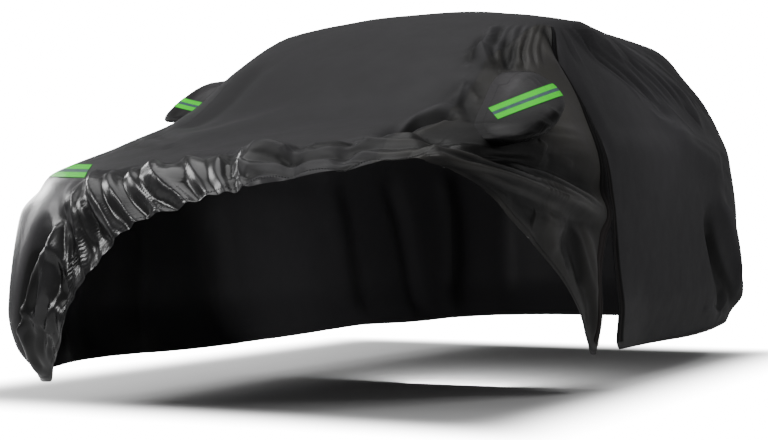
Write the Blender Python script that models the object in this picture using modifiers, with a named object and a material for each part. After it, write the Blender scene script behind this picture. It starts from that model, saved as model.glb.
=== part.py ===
"""Fitted car cover, half open: its front edge is pulled up and its door zip is undone.

Built in metres, +Z up. The front end points to -Y and the left side to +X.
Heights in the tables are above the ground. The whole cover is then lowered so that its origin is
the rest under the roof cloth.

A place on the cloth is given by two shares: "turn" runs once round the cover, 0 at the middle of
the front, 0.25 on the left side, 0.5 at the tail and negative on the right side. "rise" runs from 0
at the level of the hem to 1 along the middle of the roof.
"""
from collections import namedtuple

import bpy
import bmesh
import numpy as np
from mathutils import Vector

NAME = "car_cover"
ROOF_REST_HEIGHT = 1.6656   # underside of the roof cloth above the ground, at x = 0 and y = 0
CLOTH = 0.0015              # thickness of the cloth
TAPE = 0.0012               # thickness of zip tapes and reflective strips
SEAM_GAP = 0.0008           # between two neighbouring panels
LAID_GAP = 0.0004           # between the cloth and what is sewn flat on it

# Rings of the bare drape, from the hem to the middle of the roof.
Ring = namedtuple("Ring", "rise y_front z_front x_side y_side z_side y_rear z_rear squareness")
RINGS = (
    Ring(0.00, -2.06, 0.14, 0.91, 0.00, 0.12, 2.16, 0.13, 4.6),
    Ring(0.12, -2.14, 0.40, 0.99, 0.00, 0.40, 2.27, 0.42, 4.3),
    Ring(0.25, -2.09, 0.68, 0.99, 0.00, 0.72, 2.28, 0.79, 4.2),
    Ring(0.36, -2.00, 0.85, 0.98, 0.00, 0.99, 2.22, 1.06, 4.0),
    Ring(0.48, -1.56, 1.00, 0.93, 0.00, 1.13, 2.16, 1.23, 4.0),
    Ring(0.60, -1.10, 1.15, 0.88, 0.00, 1.25, 2.06, 1.36, 4.0),
    Ring(0.72, -0.79, 1.38, 0.80, 0.00, 1.42, 1.96, 1.49, 3.6),
    Ring(0.83, -0.40, 1.58, 0.73, 0.00, 1.57, 1.86, 1.58, 3.2),
    Ring(0.92, -0.13, 1.66, 0.41, 0.20, 1.62, 1.58, 1.65, 3.2),
    Ring(1.00, 0.24, 1.68, 0.00, 0.60, 1.68, 1.11, 1.67, 2.7),
)
TURN_HALF_LENGTH = 2.10     # the oval that spaces the turns evenly
TURN_HALF_WIDTH = 0.90
TURN_SQUARENESS = 3.0
TURN_SAMPLES = 2001         # points along a quarter of that oval
NORMAL_STEP = 0.002         # step in turn and rise that gives the cloth's direction
ROOF_FADE = 0.10            # the folds fade out over this rise along the middle of the roof

# Columns of the cloth grid between the seams of one half, and rows below and above the roof rail.
FRONT_COLUMNS = 11
FLAP_COLUMNS = 18
DOOR_COLUMNS = 15
TAIL_COLUMNS = 8
SIDE_ROWS = 18
ROOF_ROWS = 6
RAIL_RISE = 0.80            # where the side panels are sewn to the top panel
EVEN_MARKS = (0.0, 0.105, 0.22, 0.395, 0.5)   # turns of the seams once they reach the roof's middle

SeamPoint = namedtuple("SeamPoint", "rise turn")
FRONT_SEAM = (
    SeamPoint(0.00, 0.075), SeamPoint(0.30, 0.062), SeamPoint(0.48, 0.055),
    SeamPoint(0.65, 0.064), SeamPoint(0.75, 0.082), SeamPoint(0.80, 0.105),
)
TAIL_SEAM = (SeamPoint(0.00, 0.405), SeamPoint(0.40, 0.402), SeamPoint(0.80, 0.392))
ZIP_LINE = (
    SeamPoint(0.00, 0.252), SeamPoint(0.04, 0.243), SeamPoint(0.16, 0.234), SeamPoint(0.25, 0.230),
    SeamPoint(0.35, 0.222), SeamPoint(0.48, 0.210), SeamPoint(0.62, 0.184), SeamPoint(0.71, 0.157),
    SeamPoint(0.80, 0.128),
)
# Below the closed part of the zip, the flap stands this far ahead of the panel behind it.
ZIP_OPENING = (
    SeamPoint(0.00, 0.019), SeamPoint(0.04, 0.0125), SeamPoint(0.14, 0.0115), SeamPoint(0.21, 0.0060),
    SeamPoint(0.25, 0.0), SeamPoint(0.80, 0.0),
)

# Height of the lower edge round the cover: the hem, and the edge that is pulled up at the front.
EdgePoint = namedtuple("EdgePoint", "turn rise")
LOWER_EDGE = (
    EdgePoint(-0.50, 0.020), EdgePoint(-0.36, 0.016), EdgePoint(-0.30, 0.022), EdgePoint(-0.22, 0.014),
    EdgePoint(-0.15, 0.018), EdgePoint(-0.09, 0.010), EdgePoint(-0.055, 0.002), EdgePoint(-0.040, 0.004),
    EdgePoint(-0.033, 0.035), EdgePoint(-0.026, 0.070), EdgePoint(-0.020, 0.138), EdgePoint(-0.012, 0.200),
    EdgePoint(-0.001, 0.285), EdgePoint(0.012, 0.332), EdgePoint(0.030, 0.356), EdgePoint(0.052, 0.382),
    EdgePoint(0.068, 0.389), EdgePoint(0.087, 0.362), EdgePoint(0.108, 0.325), EdgePoint(0.140, 0.260),
    EdgePoint(0.172, 0.196), EdgePoint(0.192, 0.150), EdgePoint(0.208, 0.095), EdgePoint(0.222, 0.045),
    EdgePoint(0.230, 0.022), EdgePoint(0.245, 0.022), EdgePoint(0.30, 0.018), EdgePoint(0.40, 0.026),
    EdgePoint(0.50, 0.020),
)
EDGE_SEARCH_STEPS = 40      # steps that find where a grid column meets the lower edge
EDGE_SEARCH_SHARE = 0.35    # share of the remaining way that each step takes

# Folds: three places on the cloth, the half width and the height of the ridge (below 0 a trough).
Fold = namedtuple("Fold", "turn_a rise_a turn_b rise_b turn_c rise_c width height")
FOLDS = (
    # roll of cloth that is bunched up along the pulled-up edge
    Fold(-0.030, 0.270, -0.004, 0.375, 0.024, 0.420, 0.110, 0.050),
    Fold(0.010, 0.410, 0.040, 0.440, 0.075, 0.440, 0.085, 0.036),
    Fold(0.075, 0.405, 0.130, 0.325, 0.228, 0.262, 0.060, 0.040),
    Fold(0.066, 0.455, 0.120, 0.380, 0.176, 0.318, 0.055, -0.030),
    Fold(0.092, 0.365, 0.150, 0.290, 0.228, 0.236, 0.040, -0.024),
    Fold(0.100, 0.335, 0.155, 0.270, 0.195, 0.245, 0.045, 0.022),
    Fold(0.168, 0.375, 0.200, 0.325, 0.227, 0.285, 0.055, -0.026),
    # corner that hangs down at the front right
    Fold(-0.036, 0.270, -0.051, 0.150, -0.064, 0.020, 0.060, -0.075),
    Fold(-0.034, 0.250, -0.039, 0.120, -0.046, 0.005, 0.045, 0.040),
    Fold(-0.030, 0.310, -0.024, 0.220, -0.026, 0.120, 0.045, -0.030),
    Fold(-0.075, 0.330, -0.080, 0.170, -0.078, 0.010, 0.110, 0.045),
    Fold(-0.110, 0.300, -0.118, 0.150, -0.112, 0.010, 0.070, -0.035),
    # gathers of the elastic in the pulled-up edge
    Fold(-0.029, 0.350, -0.017, 0.290, -0.014, 0.205, 0.034, -0.022),
    Fold(-0.018, 0.405, -0.006, 0.325, -0.002, 0.285, 0.034, -0.024),
    Fold(-0.006, 0.425, 0.003, 0.355, 0.006, 0.318, 0.034, -0.022),
    Fold(0.006, 0.430, 0.013, 0.375, 0.018, 0.342, 0.036, -0.024),
    Fold(0.022, 0.450, 0.028, 0.395, 0.032, 0.360, 0.036, -0.020),
    Fold(0.038, 0.470, 0.043, 0.415, 0.047, 0.378, 0.036, -0.018),
    # creases of the sloping front cloth and round the left pocket
    Fold(0.049, 0.470, 0.046, 0.535, 0.068, 0.550, 0.050, -0.034),
    Fold(0.060, 0.660, 0.053, 0.600, 0.050, 0.545, 0.045, 0.016),
    Fold(0.058, 0.735, 0.066, 0.715, 0.074, 0.680, 0.045, 0.020),
    Fold(0.072, 0.780, 0.083, 0.725, 0.084, 0.670, 0.042, -0.018),
    Fold(0.094, 0.785, 0.104, 0.725, 0.106, 0.670, 0.032, -0.018),
    Fold(-0.026, 0.500, -0.010, 0.580, 0.004, 0.640, 0.110, 0.020),
    Fold(-0.050, 0.560, -0.046, 0.640, -0.052, 0.740, 0.080, -0.016),
    # the door zip lies in a groove, and cloth drags back from it along the roof rail
    Fold(0.150, 0.735, 0.206, 0.560, 0.228, 0.350, 0.045, -0.022),
    Fold(0.153, 0.800, 0.262, 0.700, 0.287, 0.520, 0.060, -0.018),
    Fold(0.190, 0.810, 0.306, 0.725, 0.334, 0.490, 0.065, 0.020),
    Fold(0.250, 0.810, 0.352, 0.745, 0.372, 0.530, 0.060, -0.016),
    Fold(0.286, 0.480, 0.313, 0.395, 0.352, 0.345, 0.085, 0.022),
    # left rear corner
    Fold(0.329, 0.290, 0.363, 0.152, 0.392, 0.070, 0.070, 0.038),
    Fold(0.310, 0.270, 0.326, 0.160, 0.350, 0.060, 0.080, -0.040),
    Fold(0.400, 0.330, 0.412, 0.180, 0.410, 0.030, 0.070, -0.030),
    # soft drape of the loose flap
    Fold(0.186, 0.240, 0.206, 0.165, 0.222, 0.060, 0.050, -0.016),
    Fold(0.200, 0.230, 0.214, 0.150, 0.226, 0.050, 0.030, 0.012),
    # right side and tail, which are draped as plainly as the rest
    Fold(-0.120, 0.790, -0.205, 0.640, -0.245, 0.420, 0.070, -0.018),
    Fold(-0.165, 0.800, -0.280, 0.700, -0.310, 0.480, 0.070, 0.018),
    Fold(-0.240, 0.810, -0.345, 0.735, -0.372, 0.520, 0.065, -0.016),
    Fold(-0.150, 0.480, -0.220, 0.380, -0.300, 0.330, 0.090, 0.020),
    Fold(-0.140, 0.330, -0.150, 0.180, -0.146, 0.020, 0.075, 0.030),
    Fold(-0.172, 0.300, -0.182, 0.160, -0.180, 0.015, 0.070, -0.026),
    Fold(-0.230, 0.280, -0.238, 0.140, -0.236, 0.015, 0.090, 0.022),
    Fold(-0.290, 0.330, -0.300, 0.180, -0.304, 0.020, 0.090, -0.026),
    Fold(-0.345, 0.350, -0.362, 0.190, -0.372, 0.020, 0.080, 0.034),
    Fold(-0.400, 0.360, -0.408, 0.190, -0.402, 0.020, 0.070, -0.034),
    Fold(0.440, 0.420, 0.450, 0.220, 0.446, 0.020, 0.080, 0.028),
    Fold(0.486, 0.380, 0.490, 0.200, 0.486, 0.020, 0.090, -0.024),
    Fold(-0.455, 0.400, -0.452, 0.220, -0.458, 0.020, 0.085, 0.026),
    Fold(0.430, 0.700, 0.455, 0.560, 0.450, 0.430, 0.090, 0.018),
    Fold(-0.440, 0.720, -0.462, 0.600, -0.455, 0.450, 0.090, -0.016),
)
FOLD_STEPS = 9              # straight pieces of one fold's line
FOLD_END = 0.22             # share of a fold over which its ends die away
FOLD_END_LEFT = 0.25        # what is left of a fold at its very ends, as a share of that way

# Mirror pockets: the seam is an oval on the cloth, and the pocket swells out of it. The oval's two
# half axes are in turn and rise: one runs towards the rear, the other upwards. The grid's cells
# inside the seam are counted from the front seam and from the lower edge.
Pocket = namedtuple("Pocket", "side middle rearward upward swell first_column columns first_row rows")
LEFT_POCKET = Pocket(1.0, (0.113, 0.540), (0.034, -0.013), (-0.018, 0.134), (0.168, -0.064, 0.0),
                     FRONT_COLUMNS + 3, 9, 3, 10)
RIGHT_POCKET = Pocket(-1.0, (0.119, 0.630), (0.017, -0.009), (-0.010, 0.066), (0.120, -0.035, 0.0),
                      FRONT_COLUMNS + 5, 8, 11, 6)
POCKET_ROUNDNESS = 2.4

ZIP_TAPE_WIDTH = 0.070
ZIP_TAPE_SHARE = 0.7        # most of a grid column that a tape covers
ZIP_TAPE_INSET = 0.003      # from the edge of the cloth
ZIP_TAPE_ROWS = SIDE_ROWS - 2

# Reflective strips: each looks straight from the direction that it faces.
Strip = namedtuple("Strip", "name middle facing along length width")
STRIPS = (
    Strip("strip_mirror_left", (0.930, -1.060, 1.165), (0.48, -0.88, 0.0), (0.80, 0.44, 0.37), 0.310, 0.062),
    Strip("strip_mirror_right", (-0.900, -0.900, 1.260), (-0.48, -0.88, 0.1), (-0.80, 0.44, 0.20), 0.180, 0.045),
    Strip("strip_front_right", (-0.616, -1.850, 0.914), (0.55, -0.84, -0.03), (0.84, 0.55, -0.04), 0.186, 0.052),
)
STRIP_MERGE = 0.0004        # corners closer than this are joined in a cut strip
STRIP_CUT_MERGE = 0.00001   # corners this close to a cutting plane lie on it
STRIP_LEAST_FACING = 0.10   # cosine of the steepest cloth that a strip still covers
JOINED = 0.0015             # corners closer than this are one corner of the cloth

CLOTH_COLOUR = (0.040, 0.040, 0.043, 1.0)
POCKET_COLOUR = (0.045, 0.045, 0.048, 1.0)
TAPE_COLOUR = (0.030, 0.026, 0.026, 1.0)
STRIP_COLOUR = (0.120, 0.750, 0.060, 1.0)


def signed_power(value, power):
    return np.sign(value) * np.abs(value) ** power


def smooth_curve(keys, values, places):
    """Monotone cubic through the given rows, so that no section overshoots its neighbours."""
    keys = np.asarray(keys, float)
    values = np.asarray(values, float)
    steps = np.diff(keys)
    slopes = np.diff(values) / steps
    tangents = np.zeros_like(values)
    tangents[0] = slopes[0]
    tangents[-1] = slopes[-1]
    for index in range(1, len(keys) - 1):
        if slopes[index - 1] * slopes[index] > 0.0:
            before = 2.0 * steps[index] + steps[index - 1]
            after = steps[index] + 2.0 * steps[index - 1]
            tangents[index] = (before + after) / (before / slopes[index - 1] + after / slopes[index])
    places = np.clip(places, keys[0], keys[-1])
    cell = np.clip(np.searchsorted(keys, places, side="right") - 1, 0, len(keys) - 2)
    share = (places - keys[cell]) / steps[cell]
    square = share * share
    cube = square * share
    return ((2 * cube - 3 * square + 1) * values[cell]
            + (cube - 2 * square + share) * steps[cell] * tangents[cell]
            + (3 * square - 2 * cube) * values[cell + 1]
            + (cube - square) * steps[cell] * tangents[cell + 1])


def smooth_step(value):
    value = np.clip(value, 0.0, 1.0)
    return value * value * (3.0 - 2.0 * value)


def column(table, field):
    return [getattr(row, field) for row in table]


def quarter_lengths(angles):
    """Length along the oval that spaces the turns, from the middle of the front to each angle."""
    across = TURN_HALF_WIDTH * signed_power(np.sin(angles), 2.0 / TURN_SQUARENESS)
    along = TURN_HALF_LENGTH * signed_power(np.cos(angles), 2.0 / TURN_SQUARENESS)
    pieces = np.hypot(np.diff(across), np.diff(along))
    return np.concatenate([[0.0], np.cumsum(pieces)])


QUARTER_ANGLES = np.linspace(0.0, np.pi / 2.0, TURN_SAMPLES)
QUARTER_LENGTHS = quarter_lengths(QUARTER_ANGLES)


def turn_to_angle(turn):
    half = np.abs(turn)
    share = np.where(half <= 0.25, half / 0.25, (0.5 - half) / 0.25)
    angle = np.interp(share * QUARTER_LENGTHS[-1], QUARTER_LENGTHS, QUARTER_ANGLES)
    angle = np.where(half <= 0.25, angle, np.pi - angle)
    return np.where(np.asarray(turn) < 0.0, -angle, angle)


def bare_cloth(turn, rise):
    """Points of the drape without folds, one for each pair of turn and rise."""
    turn, rise = np.broadcast_arrays(np.asarray(turn, float), np.asarray(rise, float))
    keys = column(RINGS, "rise")
    ring = {name: smooth_curve(keys, column(RINGS, name), rise) for name in Ring._fields[1:]}
    angle = turn_to_angle(turn)
    sideways = signed_power(np.sin(angle), 2.0 / ring["squareness"])
    endways = signed_power(np.cos(angle), 2.0 / ring["squareness"])
    ahead = endways > 0.0
    y_end = np.where(ahead, ring["y_front"], ring["y_rear"])
    y = ring["y_side"] + (y_end - ring["y_side"]) * np.abs(endways)
    end_height = np.where(ahead, ring["z_front"], ring["z_rear"])
    z = ring["z_side"] + (end_height - ring["z_side"]) * endways ** 2
    return np.stack([ring["x_side"] * sideways, y, z], axis=-1)


def cloth_normal(turn, rise):
    """Outward directions of the bare drape, from small steps along the turn and the rise."""
    low = np.clip(rise - NORMAL_STEP, 0.0, 1.0 - 2.0 * NORMAL_STEP)
    high = low + 2.0 * NORMAL_STEP
    across = bare_cloth(turn + NORMAL_STEP, rise) - bare_cloth(turn - NORMAL_STEP, rise)
    upward = bare_cloth(turn, high) - bare_cloth(turn, low)
    normal = np.cross(across, upward)
    return normal / np.maximum(np.linalg.norm(normal, axis=-1, keepdims=True), 1e-9)


def fold_line(fold):
    """Points on the bare drape along a fold, on a curve through its three places."""
    share = np.linspace(0.0, 1.0, FOLD_STEPS + 1)
    first = (1.0 - share) * (1.0 - 2.0 * share)
    middle = 4.0 * share * (1.0 - share)
    last = share * (2.0 * share - 1.0)
    turn = first * fold.turn_a + middle * fold.turn_b + last * fold.turn_c
    rise = first * fold.rise_a + middle * fold.rise_b + last * fold.rise_c
    return bare_cloth(turn, rise)


def fold_height(points):
    """Sum of all ridges and troughs at the given points of the bare drape."""
    total = np.zeros(points.shape[:-1])
    for fold in FOLDS:
        line = fold_line(fold)
        nearest = np.full(total.shape, np.inf)
        place = np.zeros(total.shape)
        for index in range(FOLD_STEPS):
            start = line[index]
            run = line[index + 1] - start
            share = np.clip((points - start) @ run / (run @ run), 0.0, 1.0)
            gap = np.linalg.norm(points - start - share[..., None] * run, axis=-1)
            closer = gap < nearest
            nearest = np.where(closer, gap, nearest)
            place = np.where(closer, (index + share) / FOLD_STEPS, place)
        ends = smooth_step(np.minimum(place, 1.0 - place) / FOLD_END + FOLD_END_LEFT)
        total += fold.height * ends * np.exp(-(nearest / fold.width) ** 2)
    return total


def draped_cloth(turn, rise):
    """Points of the cloth with its folds, which fade out along the middle of the roof."""
    bare = bare_cloth(turn, rise)
    fade = smooth_step((1.0 - np.asarray(rise)) / ROOF_FADE)
    return bare + cloth_normal(turn, rise) * (fold_height(bare) * fade)[..., None]


def seam_turn(seam, rise):
    return float(smooth_curve(column(seam, "rise"), column(seam, "turn"), min(rise, RAIL_RISE)))


def column_marks(rise, open_share):
    """Turns of the front middle, the three seams and the tail's middle at a height of the grid."""
    zip_turn = seam_turn(ZIP_LINE, rise) - open_share * seam_turn(ZIP_OPENING, rise)
    marks = (0.0, seam_turn(FRONT_SEAM, rise), zip_turn, seam_turn(TAIL_SEAM, rise), 0.5)
    ease = smooth_step((rise - RAIL_RISE) / (1.0 - RAIL_RISE))
    return [mark + (even - mark) * ease for mark, even in zip(marks, EVEN_MARKS)]


COLUMN_COUNTS = (FRONT_COLUMNS, FLAP_COLUMNS, DOOR_COLUMNS, TAIL_COLUMNS)
SEAM_COLUMNS = tuple(np.cumsum(COLUMN_COUNTS))
HALF_COLUMNS = sum(COLUMN_COUNTS)


def column_turn(index, rise, open_share):
    """Turn of one grid column, counted from the middle of the front, at a height."""
    marks = column_marks(rise, open_share)
    first = 0
    for part, count in enumerate(COLUMN_COUNTS):
        if index <= first + count:
            return marks[part] + (marks[part + 1] - marks[part]) * (index - first) / count
        first += count
    return 0.5


def lower_rise(index, side, open_share):
    """Height at which a grid column meets the lower edge."""
    rise = 0.0
    for _ in range(EDGE_SEARCH_STEPS):
        turn = side * column_turn(index, rise, open_share)
        target = float(smooth_curve(column(LOWER_EDGE, "turn"), column(LOWER_EDGE, "rise"), turn))
        rise += EDGE_SEARCH_SHARE * (target - rise)
    return rise


def grid_column(index, side, open_share):
    """Turns and rises of one column's places, from the lower edge to the roof's middle."""
    start = lower_rise(index, side, open_share)
    rises = np.concatenate([
        start + (RAIL_RISE - start) * np.linspace(0.0, 1.0, SIDE_ROWS + 1),
        RAIL_RISE + (1.0 - RAIL_RISE) * np.linspace(0.0, 1.0, ROOF_ROWS + 1)[1:],
    ])
    turns = np.array([column_turn(index, rise, open_share) for rise in rises])
    return side * turns, rises


def half_grid(pocket, open_share):
    """Turns and rises of one half of the cloth as two arrays, columns by rows."""
    places = [grid_column(index, pocket.side, open_share) for index in range(HALF_COLUMNS + 1)]
    turns = np.array([place[0] for place in places])
    rises = np.array([place[1] for place in places])
    bend_round_pocket(turns, rises, pocket)
    return turns, rises


def pocket_place(pocket, index, row):
    """Place of a grid point in the pocket's square, -1 to 1 each way inside its seam."""
    rearward = (index - pocket.first_column) / pocket.columns * 2.0 - 1.0
    upward = (row - pocket.first_row) / pocket.rows * 2.0 - 1.0
    return rearward, upward


def way_to_border(place, first, count, low, high):
    """Share of the way from the pocket's square (0) to the border of its panel (1)."""
    if place < first:
        return (first - place) / (first - low)
    return max(0.0, (place - first - count) / (high - first - count))


def bend_round_pocket(turns, rises, pocket):
    """Move the grid so that the pocket's square of cells ends on its oval seam.

    Cells outside the square move with the nearest place of it, less and less up to the panel's edge.
    """
    straight_turns = turns.copy()
    straight_rises = rises.copy()
    front_seam, zip_line = SEAM_COLUMNS[:2]
    for index in range(front_seam, zip_line):
        for row in range(SIDE_ROWS):
            near_index = min(max(index, pocket.first_column), pocket.first_column + pocket.columns)
            near_row = min(max(row, pocket.first_row), pocket.first_row + pocket.rows)
            rearward, upward = pocket_place(pocket, near_index, near_row)
            reach = max(abs(rearward), abs(upward), 1e-6)
            rearward_round = rearward * np.sqrt(1.0 - 0.5 * (upward / reach) ** 2)
            upward_round = upward * np.sqrt(1.0 - 0.5 * (rearward / reach) ** 2)
            turn = pocket.middle[0] + pocket.rearward[0] * rearward_round + pocket.upward[0] * upward_round
            rise = pocket.middle[1] + pocket.rearward[1] * rearward_round + pocket.upward[1] * upward_round
            keep = max(way_to_border(index, pocket.first_column, pocket.columns, front_seam, zip_line),
                       way_to_border(row, pocket.first_row, pocket.rows, 0, SIDE_ROWS))
            turns[index, row] += (pocket.side * turn - straight_turns[near_index, near_row]) * (1.0 - keep)
            rises[index, row] += (rise - straight_rises[near_index, near_row]) * (1.0 - keep)


def cloth_points(pocket, open_share):
    """Grid of cloth points of one half, in the part's own frame."""
    turns, rises = half_grid(pocket, open_share)
    points = draped_cloth(turns, rises)
    points[..., 2] -= ROOF_REST_HEIGHT
    return points


def in_pocket(pocket, index, row):
    rearward, upward = pocket_place(pocket, index + 0.5, row + 0.5)
    return max(abs(rearward), abs(upward)) < 1.0


def new_material(name, colour, roughness):
    material = bpy.data.materials.new(name)
    material.use_nodes = True
    shader = material.node_tree.nodes["Principled BSDF"]
    shader.inputs["Base Color"].default_value = colour
    shader.inputs["Roughness"].default_value = roughness
    shader.inputs["Metallic"].default_value = 0.0
    return material


def add_object(name, mesh, collection, material):
    mesh.materials.append(material)
    part = bpy.data.objects.new(name, mesh)
    collection.objects.link(part)
    return part


def mesh_from_cells(name, cells):
    """Mesh of flat pieces: a cell of four corners is split from its first corner to its third."""
    sheet = bmesh.new()
    for corners in cells:
        verts = [sheet.verts.new(corner) for corner in corners]
        for index in range(1, len(verts) - 1):
            sheet.faces.new((verts[0], verts[index], verts[index + 1]))
    bmesh.ops.remove_doubles(sheet, verts=sheet.verts, dist=JOINED)
    bmesh.ops.dissolve_degenerate(sheet, edges=sheet.edges, dist=JOINED)
    sheet.normal_update()
    mesh = bpy.data.meshes.new(name)
    sheet.to_mesh(mesh)
    sheet.free()
    return mesh


def grid_cells(points, side, wanted):
    """Corner points of the wanted cells of one half, wound so that they face outwards."""
    cells = []
    for index in range(points.shape[0] - 1):
        for row in range(points.shape[1] - 1):
            if not wanted(index, row):
                continue
            corners = [points[index, row], points[index + 1, row],
                       points[index + 1, row + 1], points[index, row + 1]]
            cells.append(corners if side > 0 else corners[::-1])
    return cells


def place_key(point):
    return tuple(round(value, 4) for value in point)


def whole_cloth_normals(cells):
    """Outward direction at each corner of the whole cloth, as if it had no seams."""
    mesh = mesh_from_cells("whole_cloth", cells)
    normals = {place_key(vert.co): Vector(vert.normal) for vert in mesh.vertices}
    bpy.data.meshes.remove(mesh)
    return normals


def draw_in_edges(mesh, normals):
    """Move the open edge of a panel inwards along the cloth, to leave the seam's gap.

    Where the cloth bends at the seam, the panel's thickness leans towards its neighbour, so its
    edge is drawn in by that much more.
    """
    sheet = bmesh.new()
    sheet.from_mesh(mesh)
    moves = {}
    for vert in sheet.verts:
        if not vert.is_boundary:
            continue
        inward = Vector()
        for edge in vert.link_edges:
            if edge.is_boundary:
                across = edge.link_faces[0].normal.cross(edge.verts[1].co - edge.verts[0].co)
                middle = edge.link_faces[0].calc_center_median() - edge.verts[0].co
                inward += across.normalized() * (1.0 if across.dot(middle) > 0.0 else -1.0)
        lean = (vert.normal - normals.get(place_key(vert.co), vert.normal)).length
        moves[vert] = inward.normalized() * (SEAM_GAP / 2.0 + CLOTH / 2.0 * lean)
    for vert, move in moves.items():
        vert.co += move
    sheet.to_mesh(mesh)
    sheet.free()


def give_thickness(part, thickness, offset):
    solidify = part.modifiers.new("thickness", "SOLIDIFY")
    solidify.thickness = thickness
    solidify.offset = offset


def add_panel(name, cells, normals, collection, material):
    mesh = mesh_from_cells(name, cells)
    draw_in_edges(mesh, normals)
    part = add_object(name, mesh, collection, material)
    give_thickness(part, CLOTH, 0.0)
    return part


def pocket_cells(pocket, points):
    """Cells of one mirror pocket: those inside its seam, swollen outwards."""
    swollen = points.copy()
    swell = np.array(pocket.swell) * (pocket.side, 1.0, 1.0)
    columns = range(pocket.first_column, pocket.first_column + pocket.columns + 1)
    rows = range(pocket.first_row, pocket.first_row + pocket.rows + 1)
    middle = points[columns.start:columns.stop, rows.start:rows.stop].mean(axis=(0, 1))
    for index in columns:
        for row in rows:
            reach = min(max(abs(place) for place in pocket_place(pocket, index, row)), 1.0)
            lift = (1.0 - reach ** POCKET_ROUNDNESS) ** (1.0 / POCKET_ROUNDNESS)
            inward = middle - swollen[index, row]
            swollen[index, row] += swell * lift
            if reach == 1.0:
                swollen[index, row] += inward / np.linalg.norm(inward) * SEAM_GAP
    return grid_cells(swollen, pocket.side, lambda index, row: in_pocket(pocket, index, row))


def add_pocket(name, cells, collection, material):
    part = add_object(name, mesh_from_cells(name, cells), collection, material)
    give_thickness(part, CLOTH, -1.0)
    return part


def place_on_cell(corners, across, upward):
    """Point on the two flat halves of a cell, from its first corner along its two sides."""
    first, second, third, fourth = corners
    if across >= upward:
        return first + (second - first) * across + (third - second) * upward
    return first + (fourth - first) * upward + (third - fourth) * across


def crossing(low, high):
    """Where a line across a cell, from share low to share high, meets the cell's diagonal."""
    return low / (1.0 - (high - low))


def add_tape(name, points, index, edge_share, collection, material):
    """Zip tape laid on the outside of one grid column; edge_share 0 or 1 is the zip's side of it."""
    room = np.linalg.norm(points[index + 1] - points[index], axis=1)
    near = ZIP_TAPE_INSET / room
    far = np.minimum(ZIP_TAPE_WIDTH / room, ZIP_TAPE_SHARE)
    left, right = (near, far) if edge_share == 0 else (1.0 - far, 1.0 - near)
    cells = []
    for row in range(ZIP_TAPE_ROWS):
        corners = (points[index, row], points[index + 1, row],
                   points[index + 1, row + 1], points[index, row + 1])
        left_middle = crossing(left[row], left[row + 1])
        right_middle = crossing(right[row], right[row + 1])
        outline = ((left[row], 0.0), (right[row], 0.0), (right_middle, right_middle),
                   (right[row + 1], 1.0), (left[row + 1], 1.0), (left_middle, left_middle))
        lower_left, lower_right, middle_right, upper_right, upper_left, middle_left = [
            place_on_cell(corners, across, upward) for across, upward in outline]
        cells.append([lower_left, lower_right, middle_right, middle_left])
        cells.append([middle_left, middle_right, upper_right, upper_left])
    mesh = mesh_from_cells(name, cells)
    lift_sheet(mesh, (CLOTH + TAPE) / 2.0 + LAID_GAP)
    part = add_object(name, mesh, collection, material)
    give_thickness(part, TAPE, 0.0)
    return part


def lift_sheet(mesh, distance):
    """Move a sheet outwards along its own normals."""
    normals = [Vector(vert.normal) for vert in mesh.vertices]
    for vert, normal in zip(mesh.vertices, normals):
        vert.co += normal * distance


def cut_patch(cells, strip, lift):
    """The cloth's own surface under a reflective strip, cut to the strip and lifted off the cloth."""
    sheet = bmesh.new()
    source = mesh_from_cells(strip.name, cells)
    sheet.from_mesh(source)
    bpy.data.meshes.remove(source)
    middle = Vector(strip.middle) - Vector((0.0, 0.0, ROOF_REST_HEIGHT))
    facing = Vector(strip.facing).normalized()
    along = Vector(strip.along)
    along = (along - along.dot(facing) * facing).normalized()
    across = facing.cross(along)
    for direction, half in ((along, strip.length / 2.0), (across, strip.width / 2.0)):
        for sense in (1.0, -1.0):
            everything = sheet.verts[:] + sheet.edges[:] + sheet.faces[:]
            bmesh.ops.bisect_plane(sheet, geom=everything, dist=STRIP_CUT_MERGE, clear_outer=True,
                                   plane_co=middle + direction * half * sense, plane_no=direction * sense)
    away = [face for face in sheet.faces if face.normal.dot(facing) < STRIP_LEAST_FACING]
    bmesh.ops.delete(sheet, geom=away, context="FACES")
    bmesh.ops.remove_doubles(sheet, verts=sheet.verts, dist=STRIP_MERGE)
    mesh = bpy.data.meshes.new(strip.name)
    sheet.to_mesh(mesh)
    sheet.free()
    lift_sheet(mesh, lift)
    return mesh


def add_strip(strip, cells, lift, collection, material):
    part = add_object(strip.name, cut_patch(cells, strip, lift), collection, material)
    give_thickness(part, TAPE, 0.0)
    return part


def clear_scene():
    for item in list(bpy.data.objects):
        bpy.data.objects.remove(item, do_unlink=True)


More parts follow.
